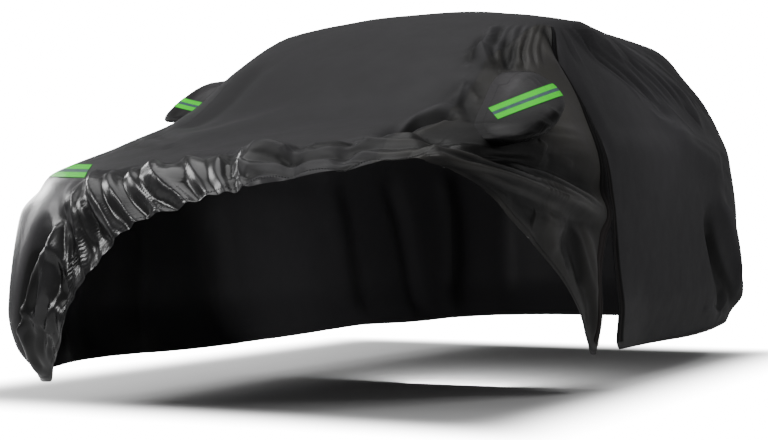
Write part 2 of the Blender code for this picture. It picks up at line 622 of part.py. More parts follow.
def build():
    clear_scene()
    collection = bpy.data.collections.new(NAME)
    bpy.context.scene.collection.children.link(collection)
    cloth = new_material("cloth", CLOTH_COLOUR, 0.55)
    pocket_cloth = new_material("pocket_cloth", POCKET_COLOUR, 0.45)
    tape = new_material("zip_tape", TAPE_COLOUR, 0.60)
    reflective = new_material("reflective_strip", STRIP_COLOUR, 0.35)

    flap_side = cloth_points(LEFT_POCKET, 1.0)
    door_side = cloth_points(LEFT_POCKET, 0.0)
    right_side = cloth_points(RIGHT_POCKET, 0.0)
    front_seam, zip_line, tail_seam, _ = SEAM_COLUMNS

    def is_top(index, row):
        return index < front_seam or index >= tail_seam or row >= SIDE_ROWS

    def is_right(index, row):
        return not is_top(index, row) and not in_pocket(RIGHT_POCKET, index, row)

    def is_flap(index, row):
        return not is_top(index, row) and not in_pocket(LEFT_POCKET, index, row) and index < zip_line

    def is_door(index, row):
        return not is_top(index, row) and index >= zip_line

    top = grid_cells(door_side, 1.0, is_top) + grid_cells(right_side, -1.0, is_top)
    right = grid_cells(right_side, -1.0, is_right)
    flap = grid_cells(flap_side, 1.0, is_flap)
    door = grid_cells(door_side, 1.0, is_door)
    normals = whole_cloth_normals(top + right + flap + door)
    add_panel("top_panel", top, normals, collection, cloth)
    add_panel("right_side_panel", right, normals, collection, cloth)
    add_panel("left_front_panel", flap, normals, collection, cloth)
    add_panel("left_rear_panel", door, normals, collection, cloth)

    left_pocket = pocket_cells(LEFT_POCKET, flap_side)
    right_pocket = pocket_cells(RIGHT_POCKET, right_side)
    add_pocket("mirror_pocket_left", left_pocket, collection, pocket_cloth)
    add_pocket("mirror_pocket_right", right_pocket, collection, pocket_cloth)

    add_tape("zip_tape_front", flap_side, zip_line - 1, 1, collection, tape)
    add_tape("zip_tape_rear", door_side, zip_line, 0, collection, tape)

    on_pocket = TAPE / 2.0 + LAID_GAP
    on_panel = (CLOTH + TAPE) / 2.0 + LAID_GAP
    add_strip(STRIPS[0], left_pocket, on_pocket, collection, reflective)
    add_strip(STRIPS[1], right_pocket, on_pocket, collection, reflective)
    add_strip(STRIPS[2], top + right, on_panel, collection, reflective)


build()
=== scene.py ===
import math

import bpy
import bmesh
import numpy as np
from mathutils import Matrix, Vector, kdtree


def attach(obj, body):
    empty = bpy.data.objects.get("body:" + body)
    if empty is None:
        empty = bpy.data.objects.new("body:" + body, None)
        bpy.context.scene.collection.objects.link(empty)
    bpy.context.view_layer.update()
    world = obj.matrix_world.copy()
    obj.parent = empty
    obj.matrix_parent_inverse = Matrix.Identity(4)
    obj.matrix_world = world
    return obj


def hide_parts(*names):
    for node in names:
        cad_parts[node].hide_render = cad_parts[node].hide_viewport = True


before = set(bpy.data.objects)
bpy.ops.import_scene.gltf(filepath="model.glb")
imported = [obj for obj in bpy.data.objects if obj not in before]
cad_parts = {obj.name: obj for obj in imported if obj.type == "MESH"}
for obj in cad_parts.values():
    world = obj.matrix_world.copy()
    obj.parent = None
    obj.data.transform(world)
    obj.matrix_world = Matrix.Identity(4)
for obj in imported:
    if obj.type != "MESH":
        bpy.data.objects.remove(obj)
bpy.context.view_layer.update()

# Heights in these tables are above the ground; everything is lowered by roofRest at the end.
# "turn" runs once round the cover: 0 front middle, 0.25 left side, 0.5 tail, below 0 the right side.
# "rise" runs from 0 at the hem's level to 1 along the middle of the roof.
coverForm = {
    "roofRest": 1.6656,
    "rings": (  # rise, yFront, zFront, xSide, ySide, zSide, yRear, zRear, squareness
        (0.00, -2.06, 0.14, 0.91, 0.00, 0.12, 2.16, 0.13, 4.6),
        (0.12, -2.14, 0.40, 0.99, 0.00, 0.40, 2.27, 0.42, 4.3),
        (0.25, -2.09, 0.68, 0.99, 0.00, 0.72, 2.28, 0.79, 4.2),
        (0.36, -2.00, 0.85, 0.98, 0.00, 0.99, 2.22, 1.06, 4.0),
        (0.48, -1.56, 1.00, 0.93, 0.00, 1.13, 2.16, 1.23, 4.0),
        (0.60, -1.10, 1.15, 0.88, 0.00, 1.25, 2.06, 1.36, 4.0),
        (0.72, -0.79, 1.38, 0.80, 0.00, 1.42, 1.96, 1.49, 3.6),
        (0.83, -0.40, 1.58, 0.73, 0.00, 1.57, 1.86, 1.58, 3.2),
        (0.92, -0.13, 1.66, 0.41, 0.20, 1.62, 1.58, 1.65, 3.2),
        (1.00, 0.24, 1.68, 0.00, 0.60, 1.68, 1.11, 1.67, 2.7),
    ),
    "turnOval": (2.10, 0.90, 3.0),  # half length, half width and squareness of the oval that spaces the turns
    "railRise": 0.80,
    "evenMarks": (0.0, 0.105, 0.22, 0.395, 0.5),
    "frontSeam": ((0.00, 0.075), (0.30, 0.062), (0.48, 0.055), (0.65, 0.064), (0.75, 0.082), (0.80, 0.105)),
    "tailSeam": ((0.00, 0.405), (0.40, 0.402), (0.80, 0.392)),
    "zipLine": ((0.00, 0.252), (0.04, 0.243), (0.16, 0.234), (0.25, 0.230), (0.35, 0.222), (0.48, 0.210),
                (0.62, 0.184), (0.71, 0.157), (0.80, 0.128)),
    "zipOpening": ((0.00, 0.019), (0.04, 0.0125), (0.14, 0.0115), (0.21, 0.0060), (0.25, 0.0), (0.80, 0.0)),
    "lowerEdge": (  # turn, rise
        (-0.50, 0.020), (-0.36, 0.016), (-0.30, 0.022), (-0.22, 0.014), (-0.15, 0.018), (-0.09, 0.010),
        (-0.055, 0.002), (-0.040, 0.004), (-0.033, 0.035), (-0.026, 0.070), (-0.020, 0.138), (-0.012, 0.200),
        (-0.001, 0.285), (0.012, 0.332), (0.030, 0.356), (0.052, 0.382), (0.068, 0.389), (0.087, 0.362),
        (0.108, 0.325), (0.140, 0.260), (0.172, 0.196), (0.192, 0.150), (0.208, 0.095), (0.222, 0.045),
        (0.230, 0.022), (0.245, 0.022), (0.30, 0.018), (0.40, 0.026), (0.50, 0.020)),
    "columnCounts": (11, 18, 15, 8),  # front, flap, rear and tail, in half the coarse grid
    "fineColumns": (11, 16, 18, 3),  # each of those columns is split into this many
    "sideRows": 18,
    "roofRows": 6,
    "fineRows": (14, 14, 14, 9, 8, 6, 5, 5, 5, 4, 4, 4, 4, 5, 5, 5, 5, 5, 2, 2, 1, 1, 1, 1),
}

# The big folds, in the places that the solids have: three (turn, rise) places, half width, height.
bigFolds = (
    (-0.030, 0.270, -0.004, 0.375, 0.024, 0.420, 0.110, 0.050),
    (0.010, 0.410, 0.040, 0.440, 0.075, 0.440, 0.085, 0.036),
    (0.075, 0.405, 0.130, 0.325, 0.228, 0.262, 0.060, 0.040),
    (0.066, 0.455, 0.120, 0.380, 0.176, 0.318, 0.055, -0.030),
    (0.092, 0.365, 0.150, 0.290, 0.228, 0.236, 0.040, -0.024),
    (0.100, 0.335, 0.155, 0.270, 0.195, 0.245, 0.045, 0.022),
    (0.168, 0.375, 0.200, 0.325, 0.227, 0.285, 0.055, -0.026),
    (-0.036, 0.270, -0.051, 0.150, -0.064, 0.020, 0.060, -0.075),
    (-0.034, 0.250, -0.039, 0.120, -0.046, 0.005, 0.045, 0.040),
    (-0.030, 0.310, -0.024, 0.220, -0.026, 0.120, 0.045, -0.030),
    (-0.075, 0.330, -0.080, 0.170, -0.078, 0.010, 0.110, 0.045),
    (-0.110, 0.300, -0.118, 0.150, -0.112, 0.010, 0.070, -0.035),
    (-0.029, 0.350, -0.017, 0.290, -0.014, 0.205, 0.034, -0.022),
    (-0.018, 0.405, -0.006, 0.325, -0.002, 0.285, 0.034, -0.024),
    (-0.006, 0.425, 0.003, 0.355, 0.006, 0.318, 0.034, -0.022),
    (0.006, 0.430, 0.013, 0.375, 0.018, 0.342, 0.036, -0.024),
    (0.022, 0.450, 0.028, 0.395, 0.032, 0.360, 0.036, -0.020),
    (0.038, 0.470, 0.043, 0.415, 0.047, 0.378, 0.036, -0.018),
    (0.049, 0.470, 0.046, 0.535, 0.068, 0.550, 0.050, -0.034),
    (0.060, 0.660, 0.053, 0.600, 0.050, 0.545, 0.045, 0.016),
    (0.058, 0.735, 0.066, 0.715, 0.074, 0.680, 0.045, 0.020),
    (0.072, 0.780, 0.083, 0.725, 0.084, 0.670, 0.042, -0.018),
    (0.094, 0.785, 0.104, 0.725, 0.106, 0.670, 0.032, -0.018),
    (-0.026, 0.500, -0.010, 0.580, 0.004, 0.640, 0.110, 0.020),
    (-0.050, 0.560, -0.046, 0.640, -0.052, 0.740, 0.080, -0.016),
    (0.150, 0.735, 0.206, 0.560, 0.228, 0.350, 0.045, -0.022),
    (0.153, 0.800, 0.262, 0.700, 0.287, 0.520, 0.060, -0.018),
    (0.190, 0.810, 0.306, 0.725, 0.334, 0.490, 0.065, 0.020),
    (0.250, 0.810, 0.352, 0.745, 0.372, 0.530, 0.060, -0.016),
    (0.286, 0.480, 0.313, 0.395, 0.352, 0.345, 0.085, 0.022),
    (0.329, 0.290, 0.363, 0.152, 0.392, 0.070, 0.070, 0.038),
    (0.310, 0.270, 0.326, 0.160, 0.350, 0.060, 0.080, -0.040),
    (0.400, 0.330, 0.412, 0.180, 0.410, 0.030, 0.070, -0.030),
    (0.186, 0.240, 0.206, 0.165, 0.222, 0.060, 0.050, -0.016),
    (0.200, 0.230, 0.214, 0.150, 0.226, 0.050, 0.030, 0.012),
    (-0.120, 0.790, -0.205, 0.640, -0.245, 0.420, 0.070, -0.018),
    (-0.165, 0.800, -0.280, 0.700, -0.310, 0.480, 0.070, 0.018),
    (-0.240, 0.810, -0.345, 0.735, -0.372, 0.520, 0.065, -0.016),
    (-0.150, 0.480, -0.220, 0.380, -0.300, 0.330, 0.090, 0.020),
    (-0.140, 0.330, -0.150, 0.180, -0.146, 0.020, 0.075, 0.030),
    (-0.172, 0.300, -0.182, 0.160, -0.180, 0.015, 0.070, -0.026),
    (-0.230, 0.280, -0.238, 0.140, -0.236, 0.015, 0.090, 0.022),
    (-0.290, 0.330, -0.300, 0.180, -0.304, 0.020, 0.090, -0.026),
    (-0.345, 0.350, -0.362, 0.190, -0.372, 0.020, 0.080, 0.034),
    (-0.400, 0.360, -0.408, 0.190, -0.402, 0.020, 0.070, -0.034),
    (0.440, 0.420, 0.450, 0.220, 0.446, 0.020, 0.080, 0.028),
    (0.486, 0.380, 0.490, 0.200, 0.486, 0.020, 0.090, -0.024),
    (-0.455, 0.400, -0.452, 0.220, -0.458, 0.020, 0.085, 0.026),
    (0.430, 0.700, 0.455, 0.560, 0.450, 0.430, 0.090, 0.018),
    (-0.440, 0.720, -0.462, 0.600, -0.455, 0.450, 0.090, -0.016),
)

# Creases placed one by one: three (turn, rise) places, half width, height, and 2 for a soft or 1 for a sharp crest.
creases = {
    "front corner": (
        (-0.034, 0.262, -0.045, 0.165, -0.058, 0.060, 0.040, -0.024, 1.8),
        (-0.034, 0.235, -0.0325, 0.165, -0.034, 0.105, 0.014, 0.018, 1.5),
        (-0.034, 0.112, -0.050, 0.068, -0.051, 0.018, 0.014, 0.020, 1.5),
        (-0.035, 0.100, -0.040, 0.055, -0.041, 0.020, 0.020, -0.020, 1.6),
        (-0.029, 0.278, -0.031, 0.238, -0.030, 0.205, 0.014, 0.012, 1.4),
        (-0.031, 0.215, -0.028, 0.170, -0.024, 0.128, 0.022, -0.020, 1.6),
        (-0.028, 0.268, -0.022, 0.205, -0.022, 0.158, 0.016, 0.014, 1.4),
        (-0.026, 0.278, -0.022, 0.220, -0.017, 0.185, 0.012, -0.010, 1.4),
        (-0.028, 0.100, -0.031, 0.072, -0.034, 0.035, 0.016, -0.012, 1.5),
    ),
    "rolled band": (
        (-0.015, 0.468, 0.009, 0.438, 0.020, 0.453, 0.020, 0.014, 1.3),
        (0.020, 0.453, 0.031, 0.473, 0.047, 0.500, 0.018, 0.012, 1.3),
        (0.000, 0.410, 0.017, 0.393, 0.028, 0.413, 0.020, -0.016, 1.4),
        (0.028, 0.413, 0.038, 0.440, 0.054, 0.463, 0.018, -0.012, 1.3),
        (0.002, 0.430, 0.004, 0.438, 0.006, 0.453, 0.022, 0.012, 1.4),
        (0.014, 0.357, 0.033, 0.370, 0.050, 0.403, 0.022, 0.012, 1.5),
        (0.021, 0.438, 0.022, 0.422, 0.022, 0.410, 0.010, 0.008, 1.2),
        (0.035, 0.470, 0.043, 0.448, 0.049, 0.435, 0.010, 0.007, 1.2),
        (0.028, 0.463, 0.035, 0.475, 0.042, 0.485, 0.010, -0.008, 1.2),
    ),
    "round the left pocket": (
        (0.057, 0.735, 0.063, 0.730, 0.073, 0.688, 0.012, 0.013, 1.1),
        (0.064, 0.775, 0.059, 0.753, 0.058, 0.682, 0.020, -0.012, 1.6),
        (0.067, 0.758, 0.078, 0.713, 0.084, 0.672, 0.012, 0.010, 1.2),
        (0.077, 0.770, 0.090, 0.723, 0.088, 0.675, 0.026, -0.018, 1.6),
        (0.081, 0.765, 0.091, 0.723, 0.098, 0.675, 0.014, 0.009, 1.3),
        (0.096, 0.743, 0.101, 0.723, 0.103, 0.698, 0.012, -0.008, 1.3),
        (0.100, 0.740, 0.108, 0.705, 0.111, 0.672, 0.012, 0.008, 1.3),
        (0.104, 0.787, 0.135, 0.723, 0.159, 0.667, 0.020, 0.008, 1.5),
        (0.059, 0.640, 0.065, 0.620, 0.072, 0.600, 0.010, 0.009, 1.1),
        (0.055, 0.698, 0.057, 0.693, 0.059, 0.682, 0.010, 0.007, 1.2),
        (0.059, 0.575, 0.057, 0.630, 0.058, 0.647, 0.008, 0.005, 1.2),
        (0.050, 0.474, 0.048, 0.545, 0.064, 0.556, 0.024, -0.034, 1.6),
        (0.046, 0.492, 0.044, 0.566, 0.064, 0.578, 0.016, 0.014, 1.4),
        (0.055, 0.482, 0.064, 0.505, 0.063, 0.547, 0.016, 0.012, 1.3),
        (0.056, 0.618, 0.072, 0.562, 0.088, 0.500, 0.030, -0.010, 1.8),
    ),
    "along the zip": (
        (0.114, 0.797, 0.147, 0.733, 0.173, 0.667, 0.014, -0.016, 1.4),
        (0.173, 0.667, 0.206, 0.557, 0.223, 0.403, 0.014, -0.016, 1.4),
        (0.121, 0.800, 0.155, 0.738, 0.182, 0.662, 0.012, 0.008, 1.2),
        (0.146, 0.792, 0.174, 0.745, 0.197, 0.682, 0.014, -0.006, 1.4),
        (0.156, 0.792, 0.185, 0.745, 0.207, 0.685, 0.012, 0.006, 1.3),
        (0.234, 0.228, 0.235, 0.170, 0.240, 0.075, 0.010, -0.006, 1.2),
    ),
    "left wing": (
        (0.140, 0.362, 0.180, 0.316, 0.226, 0.268, 0.012, 0.015, 1.4),
        (0.083, 0.403, 0.150, 0.330, 0.226, 0.257, 0.012, 0.015, 1.4),
        (0.091, 0.364, 0.150, 0.312, 0.227, 0.252, 0.012, 0.015, 1.4),
        (0.101, 0.350, 0.143, 0.301, 0.189, 0.263, 0.013, 0.011, 1.4),
        (0.105, 0.400, 0.160, 0.348, 0.221, 0.287, 0.030, -0.030, 1.8),
        (0.111, 0.377, 0.160, 0.327, 0.226, 0.262, 0.012, -0.014, 1.4),
        (0.090, 0.380, 0.140, 0.332, 0.200, 0.275, 0.012, -0.012, 1.4),
        (0.105, 0.332, 0.140, 0.298, 0.182, 0.277, 0.016, -0.010, 1.5),
        (0.072, 0.425, 0.107, 0.400, 0.149, 0.357, 0.013, 0.011, 1.4),
        (0.172, 0.383, 0.165, 0.395, 0.158, 0.413, 0.011, 0.008, 1.3),
        (0.172, 0.383, 0.188, 0.357, 0.201, 0.333, 0.011, 0.008, 1.3),
    ),
    "loose flap": (
        (0.121, 0.297, 0.144, 0.258, 0.167, 0.217, 0.018, 0.010, 1.6),
        (0.131, 0.300, 0.153, 0.265, 0.160, 0.255, 0.022, -0.010, 1.8),
        (0.165, 0.265, 0.178, 0.230, 0.183, 0.195, 0.040, 0.008, 2.0),
        (0.191, 0.250, 0.203, 0.195, 0.209, 0.135, 0.040, -0.010, 2.0),
        (0.205, 0.242, 0.216, 0.182, 0.219, 0.110, 0.035, 0.010, 2.0),
        (0.187, 0.217, 0.194, 0.193, 0.193, 0.170, 0.030, -0.008, 2.0),
    ),
    "left rear": (
        (0.164, 0.812, 0.259, 0.700, 0.268, 0.552, 0.020, 0.008, 1.4),
        (0.191, 0.800, 0.264, 0.685, 0.276, 0.535, 0.018, -0.008, 1.4),
        (0.253, 0.805, 0.278, 0.693, 0.292, 0.580, 0.014, 0.007, 1.3),
        (0.263, 0.815, 0.288, 0.698, 0.303, 0.570, 0.014, -0.007, 1.3),
        (0.267, 0.810, 0.306, 0.723, 0.334, 0.615, 0.014, 0.007, 1.3),
        (0.297, 0.605, 0.305, 0.535, 0.315, 0.465, 0.010, 0.006, 1.3),
        (0.320, 0.613, 0.327, 0.552, 0.336, 0.487, 0.010, -0.006, 1.3),
        (0.271, 0.575, 0.277, 0.525, 0.292, 0.510, 0.014, 0.007, 1.3),
        (0.294, 0.460, 0.333, 0.390, 0.376, 0.338, 0.050, -0.010, 1.8),
        (0.334, 0.273, 0.347, 0.215, 0.374, 0.080, 0.026, 0.020, 1.5),
        (0.319, 0.228, 0.332, 0.158, 0.378, 0.055, 0.030, -0.020, 1.7),
        (0.304, 0.075, 0.332, 0.060, 0.393, 0.028, 0.014, 0.010, 1.2),
        (0.320, 0.088, 0.342, 0.062, 0.393, 0.030, 0.012, -0.010, 1.2),
    ),
}
# Fans of creases: the first and the last line, how many, half width, height, sharpness and seed.
creaseFans = {
    "gathers by the corner": (
        (-0.031, 0.290, -0.030, 0.190, -0.028, 0.030), (-0.027, 0.402, -0.019, 0.320, -0.003, 0.200),
        13, 0.015, 0.017, 1.4, 12),
    "gathers further up": (
        (-0.027, 0.405, -0.017, 0.325, -0.001, 0.205), (0.006, 0.440, 0.013, 0.385, 0.020, 0.310),
        13, 0.016, 0.020, 1.4, 14),
    "shirring at the edge": (
        (-0.034, 0.110, -0.034, 0.070, -0.032, 0.015), (-0.010, 0.365, -0.005, 0.325, 0.000, 0.270),
        36, 0.011, 0.008, 1.4, 21),
    "along the band": (
        (-0.010, 0.472, 0.016, 0.440, 0.052, 0.476), (0.006, 0.380, 0.030, 0.380, 0.064, 0.412),
        6, 0.015, 0.014, 1.4, 6),
    "from the band to the wing": (
        (0.020, 0.462, 0.080, 0.440, 0.150, 0.372), (0.034, 0.385, 0.090, 0.358, 0.160, 0.290),
        8, 0.012, 0.013, 1.4, 3),
    "above the left pocket": (
        (0.066, 0.800, 0.063, 0.755, 0.070, 0.690), (0.118, 0.805, 0.122, 0.740, 0.134, 0.668),
        12, 0.015, 0.017, 1.3, 5),
    "back along the rail": (
        (0.150, 0.812, 0.240, 0.735, 0.268, 0.570), (0.262, 0.815, 0.345, 0.745, 0.374, 0.570),
        21, 0.011, 0.009, 1.5, 7),
    "hanging corner": (
        (-0.036, 0.210, -0.038, 0.130, -0.046, 0.050), (-0.026, 0.200, -0.028, 0.120, -0.036, 0.030),
        5, 0.012, 0.012, 1.5, 2),
    "off the right rail": (
        (-0.105, 0.640, -0.060, 0.560, -0.020, 0.520), (-0.085, 0.520, -0.050, 0.490, -0.015, 0.480),
        4, 0.030, 0.007, 1.6, 4),
    "behind the left pocket": (
        (0.100, 0.560, 0.150, 0.470, 0.205, 0.430), (0.110, 0.420, 0.160, 0.380, 0.216, 0.345),
        6, 0.020, 0.010, 1.4, 9),
    "towards the tail": (
        (0.262, 0.560, 0.330, 0.440, 0.385, 0.350), (0.275, 0.470, 0.330, 0.350, 0.385, 0.250),
        9, 0.024, 0.009, 1.5, 13),
}


def fanRows(first, last, count, width, height, sharpness, seed):
    # ridges and troughs by turns, unevenly spaced and of uneven height
    random = np.random.RandomState(seed)
    rows = []
    for index in range(count):
        share = (index + random.uniform(-0.3, 0.3)) / (count - 1)
        line = np.array(first) * (1.0 - share) + np.array(last) * share
        rise = height * random.uniform(0.6, 1.2) * (1.0 if index % 2 == 0 else -0.8)
        rows.append((*line, width * random.uniform(0.8, 1.3), rise, sharpness))
    return rows


foldEnds = {
    "leastWidth": 0.011, "crest": 0.005,  # narrowest half width, and how far every crest is rounded
    "paintedLightHeight": 0.009, "hollow": 0.050,  # the crease height and the fold depth at which the painted light and shade count in full
    "steps": 9, "fade": 0.22, "left": 0.25, "roofFade": 0.10,  # pieces of a line, and how its ends die away
}


def signedPower(value, power):
    return np.sign(value) * np.abs(value) ** power


def smoothStep(value):
    value = np.clip(value, 0.0, 1.0)
    return value * value * (3.0 - 2.0 * value)


def smoothCurve(keys, values, places):
    # monotone cubic, so that no section overshoots its neighbours
    keys = np.asarray(keys, float)
    values = np.asarray(values, float)
    steps = np.diff(keys)
    slopes = np.diff(values) / steps
    tangents = np.zeros_like(values)
    tangents[0], tangents[-1] = slopes[0], slopes[-1]
    for index in range(1, len(keys) - 1):
        if slopes[index - 1] * slopes[index] > 0.0:
            before = 2.0 * steps[index] + steps[index - 1]
            after = steps[index] + 2.0 * steps[index - 1]
            tangents[index] = (before + after) / (before / slopes[index - 1] + after / slopes[index])
    places = np.clip(places, keys[0], keys[-1])
    cell = np.clip(np.searchsorted(keys, places, side="right") - 1, 0, len(keys) - 2)
    share = (places - keys[cell]) / steps[cell]
    square, cube = share * share, share ** 3
    return ((2 * cube - 3 * square + 1) * values[cell] + (cube - 2 * square + share) * steps[cell] * tangents[cell]
            + (3 * square - 2 * cube) * values[cell + 1] + (cube - square) * steps[cell] * tangents[cell + 1])


def ovalSpacing():
    length, width, squareness = coverForm["turnOval"]
    angles = np.linspace(0.0, np.pi / 2.0, 2001)
    across = width * signedPower(np.sin(angles), 2.0 / squareness)
    along = length * signedPower(np.cos(angles), 2.0 / squareness)
    return angles, np.concatenate([[0.0], np.cumsum(np.hypot(np.diff(across), np.diff(along)))])


ovalAngles, ovalLengths = ovalSpacing()


def turnToAngle(turn):
    half = np.abs(turn)
    share = np.where(half <= 0.25, half / 0.25, (0.5 - half) / 0.25)
    angle = np.interp(share * ovalLengths[-1], ovalLengths, ovalAngles)
    angle = np.where(half <= 0.25, angle, np.pi - angle)
    return np.where(np.asarray(turn) < 0.0, -angle, angle)


def bareCloth(turn, rise):
    turn, rise = np.broadcast_arrays(np.asarray(turn, float), np.asarray(rise, float))
    table = np.array(coverForm["rings"])
    yFront, zFront, xSide, ySide, zSide, yRear, zRear, squareness = [
        smoothCurve(table[:, 0], table[:, field], rise) for field in range(1, 9)]
    angle = turnToAngle(turn)
    sideways = signedPower(np.sin(angle), 2.0 / squareness)
    endways = signedPower(np.cos(angle), 2.0 / squareness)
    ahead = endways > 0.0
    yEnd = np.where(ahead, yFront, yRear)
    zEnd = np.where(ahead, zFront, zRear)
    y = ySide + (yEnd - ySide) * np.abs(endways)
    z = zSide + (zEnd - zSide) * endways ** 2
    return np.stack([xSide * sideways, y, z], axis=-1)


def clothNormal(turn, rise):
    step = 0.002
    low = np.clip(rise - step, 0.0, 1.0 - 2.0 * step)
    across = bareCloth(turn + step, rise) - bareCloth(turn - step, rise)
    upward = bareCloth(turn, low + 2.0 * step) - bareCloth(turn, low)
    normal = np.cross(across, upward)
    return normal / np.maximum(np.linalg.norm(normal, axis=-1, keepdims=True), 1e-9)


def foldLine(fold):
    share = np.linspace(0.0, 1.0, foldEnds["steps"] + 1)
    first, middle, last = (1.0 - share) * (1.0 - 2.0 * share), 4.0 * share * (1.0 - share), share * (2.0 * share - 1.0)
    turn = first * fold[0] + middle * fold[2] + last * fold[4]
    rise = first * fold[1] + middle * fold[3] + last * fold[5]
    return bareCloth(turn, rise)


def foldHeight(points, folds):
    flat = points.reshape(-1, 3)
    total = np.zeros(len(flat))
    steps = foldEnds["steps"]
    for fold in folds:
        line = foldLine(fold)
        width, height = max(fold[6], foldEnds["leastWidth"]), fold[7]
        sharpness = fold[8] if len(fold) > 8 else 2.0
        reach = width * (3.2 if sharpness > 1.7 else 5.0)
        near = np.all((flat > line.min(axis=0) - reach) & (flat < line.max(axis=0) + reach), axis=1)
        some = flat[near]
        nearest = np.full(len(some), np.inf)
        place = np.zeros(len(some))
        for index in range(steps):
            start = line[index]
            run = line[index + 1] - start
            share = np.clip((some - start) @ run / (run @ run), 0.0, 1.0)
            gap = np.linalg.norm(some - start - share[:, None] * run, axis=1)
            closer = gap < nearest
            nearest = np.where(closer, gap, nearest)
            place = np.where(closer, (index + share) / steps, place)
        left = foldEnds["left"] if len(fold) == 8 else 0.0
        ends = smoothStep(np.minimum(place, 1.0 - place) / foldEnds["fade"] + left)
        away = np.hypot(nearest, foldEnds["crest"]) / width
        total[near] += height * ends * np.exp(-away ** sharpness)
    return total.reshape(points.shape[:-1])


def seamTurn(name, rise):
    table = np.array(coverForm[name])
    return smoothCurve(table[:, 0], table[:, 1], np.minimum(rise, coverForm["railRise"]))


def columnTurn(index, rise, openShare):
    # turn of a grid column, counted from the middle of the front, at a height
    zipTurn = seamTurn("zipLine", rise) - openShare * seamTurn("zipOpening", rise)
    marks = [0.0 * rise, seamTurn("frontSeam", rise), zipTurn, seamTurn("tailSeam", rise), 0.5 + 0.0 * rise]
    ease = smoothStep((rise - coverForm["railRise"]) / (1.0 - coverForm["railRise"]))
    marks = [mark + (even - mark) * ease for mark, even in zip(marks, coverForm["evenMarks"])]
    turn, first = 0.5 + 0.0 * rise, 0
    for part, count in enumerate(coverForm["columnCounts"]):
        share = (index - first) / count
        turn = np.where((share >= 0.0) & (share <= 1.0), marks[part] + (marks[part + 1] - marks[part]) * share, turn)
        first += count
    return turn


def lowerRise(index, side, openShare):
    table = np.array(coverForm["lowerEdge"])
    rise = np.zeros_like(index)
    for _ in range(40):  # small steps, because each one moves the turn a little
        turn = side * columnTurn(index, rise, openShare)
        rise = rise + 0.35 * (smoothCurve(table[:, 0], table[:, 1], turn) - rise)
    return rise


def splitCells(counts, fine):
    # places of the fine grid lines, in coarse cells
    places = [0.0]
    for index, count in enumerate(counts):
        for _ in range(count):
            places += list(places[-1] + np.arange(1, fine[index] + 1) / fine[index])
            places[-1] = round(places[-1])
    return np.round(np.array(places), 6)


seamColumns = np.cumsum(coverForm["columnCounts"])
frontColumn, zipColumn, tailColumn, lastColumn = seamColumns
gridColumns = splitCells(coverForm["columnCounts"], coverForm["fineColumns"])
gridRows = splitCells([1] * len(coverForm["fineRows"]), coverForm["fineRows"])

leftPocket = {
    "side": 1.0, "middle": (0.113, 0.540), "rearward": (0.034, -0.013), "upward": (-0.018, 0.134),
    "swell": (0.168, -0.064, 0.0), "firstColumn": 14, "columns": 9, "firstRow": 3, "rows": 10,
}
rightPocket = {
    "side": -1.0, "middle": (0.119, 0.630), "rearward": (0.017, -0.009), "upward": (-0.010, 0.066),
    "swell": (0.120, -0.035, 0.0), "firstColumn": 16, "columns": 8, "firstRow": 11, "rows": 6,
}

def pocketPlace(pocket, column, row):
    rearward = (column - pocket["firstColumn"]) / pocket["columns"] * 2.0 - 1.0
    upward = (row - pocket["firstRow"]) / pocket["rows"] * 2.0 - 1.0
    return rearward, upward


def wayToBorder(place, first, count, low, high):
    before = (first - place) / (first - low)
    return np.clip(np.maximum(before, (place - first - count) / (high - first - count)), 0.0, 1.0)


def clothPlaces(pocket, openShare):
    # turns and rises of one half of the cloth, with the grid bent round the pocket's oval seam
    side, rail, sideRows = pocket["side"], coverForm["railRise"], coverForm["sideRows"]
    columns, rows = gridColumns[:, None], gridRows[None, :]
    start = lowerRise(gridColumns, side, openShare)[:, None]
    rises = np.where(rows <= sideRows, start + (rail - start) * rows / sideRows,
                     rail + (1.0 - rail) * (rows - sideRows) / coverForm["roofRows"])
    turns = side * columnTurn(columns + 0.0 * rises, rises, openShare)
    nearColumn = np.clip(gridColumns, pocket["firstColumn"], pocket["firstColumn"] + pocket["columns"])
    nearRow = np.clip(gridRows, pocket["firstRow"], pocket["firstRow"] + pocket["rows"])
    nearest = np.ix_(np.searchsorted(gridColumns, nearColumn), np.searchsorted(gridRows, nearRow))
    rearward, upward = np.broadcast_arrays(*pocketPlace(pocket, nearColumn[:, None], nearRow[None, :]))
    reach = np.maximum(np.maximum(np.abs(rearward), np.abs(upward)), 1e-6)
    roundRearward = rearward * np.sqrt(1.0 - 0.5 * (upward / reach) ** 2)
    roundUpward = upward * np.sqrt(1.0 - 0.5 * (rearward / reach) ** 2)
    turn = pocket["middle"][0] + pocket["rearward"][0] * roundRearward + pocket["upward"][0] * roundUpward
    rise = pocket["middle"][1] + pocket["rearward"][1] * roundRearward + pocket["upward"][1] * roundUpward
    keep = np.maximum(
        wayToBorder(columns, pocket["firstColumn"], pocket["columns"], frontColumn, zipColumn),
        wayToBorder(rows, pocket["firstRow"], pocket["rows"], 0, sideRows))
    bentTurns = turns + (side * turn - turns[nearest]) * (1.0 - keep)
    bentRises = rises + (rise - rises[nearest]) * (1.0 - keep)
    return bentTurns, bentRises


print("form tables ready")

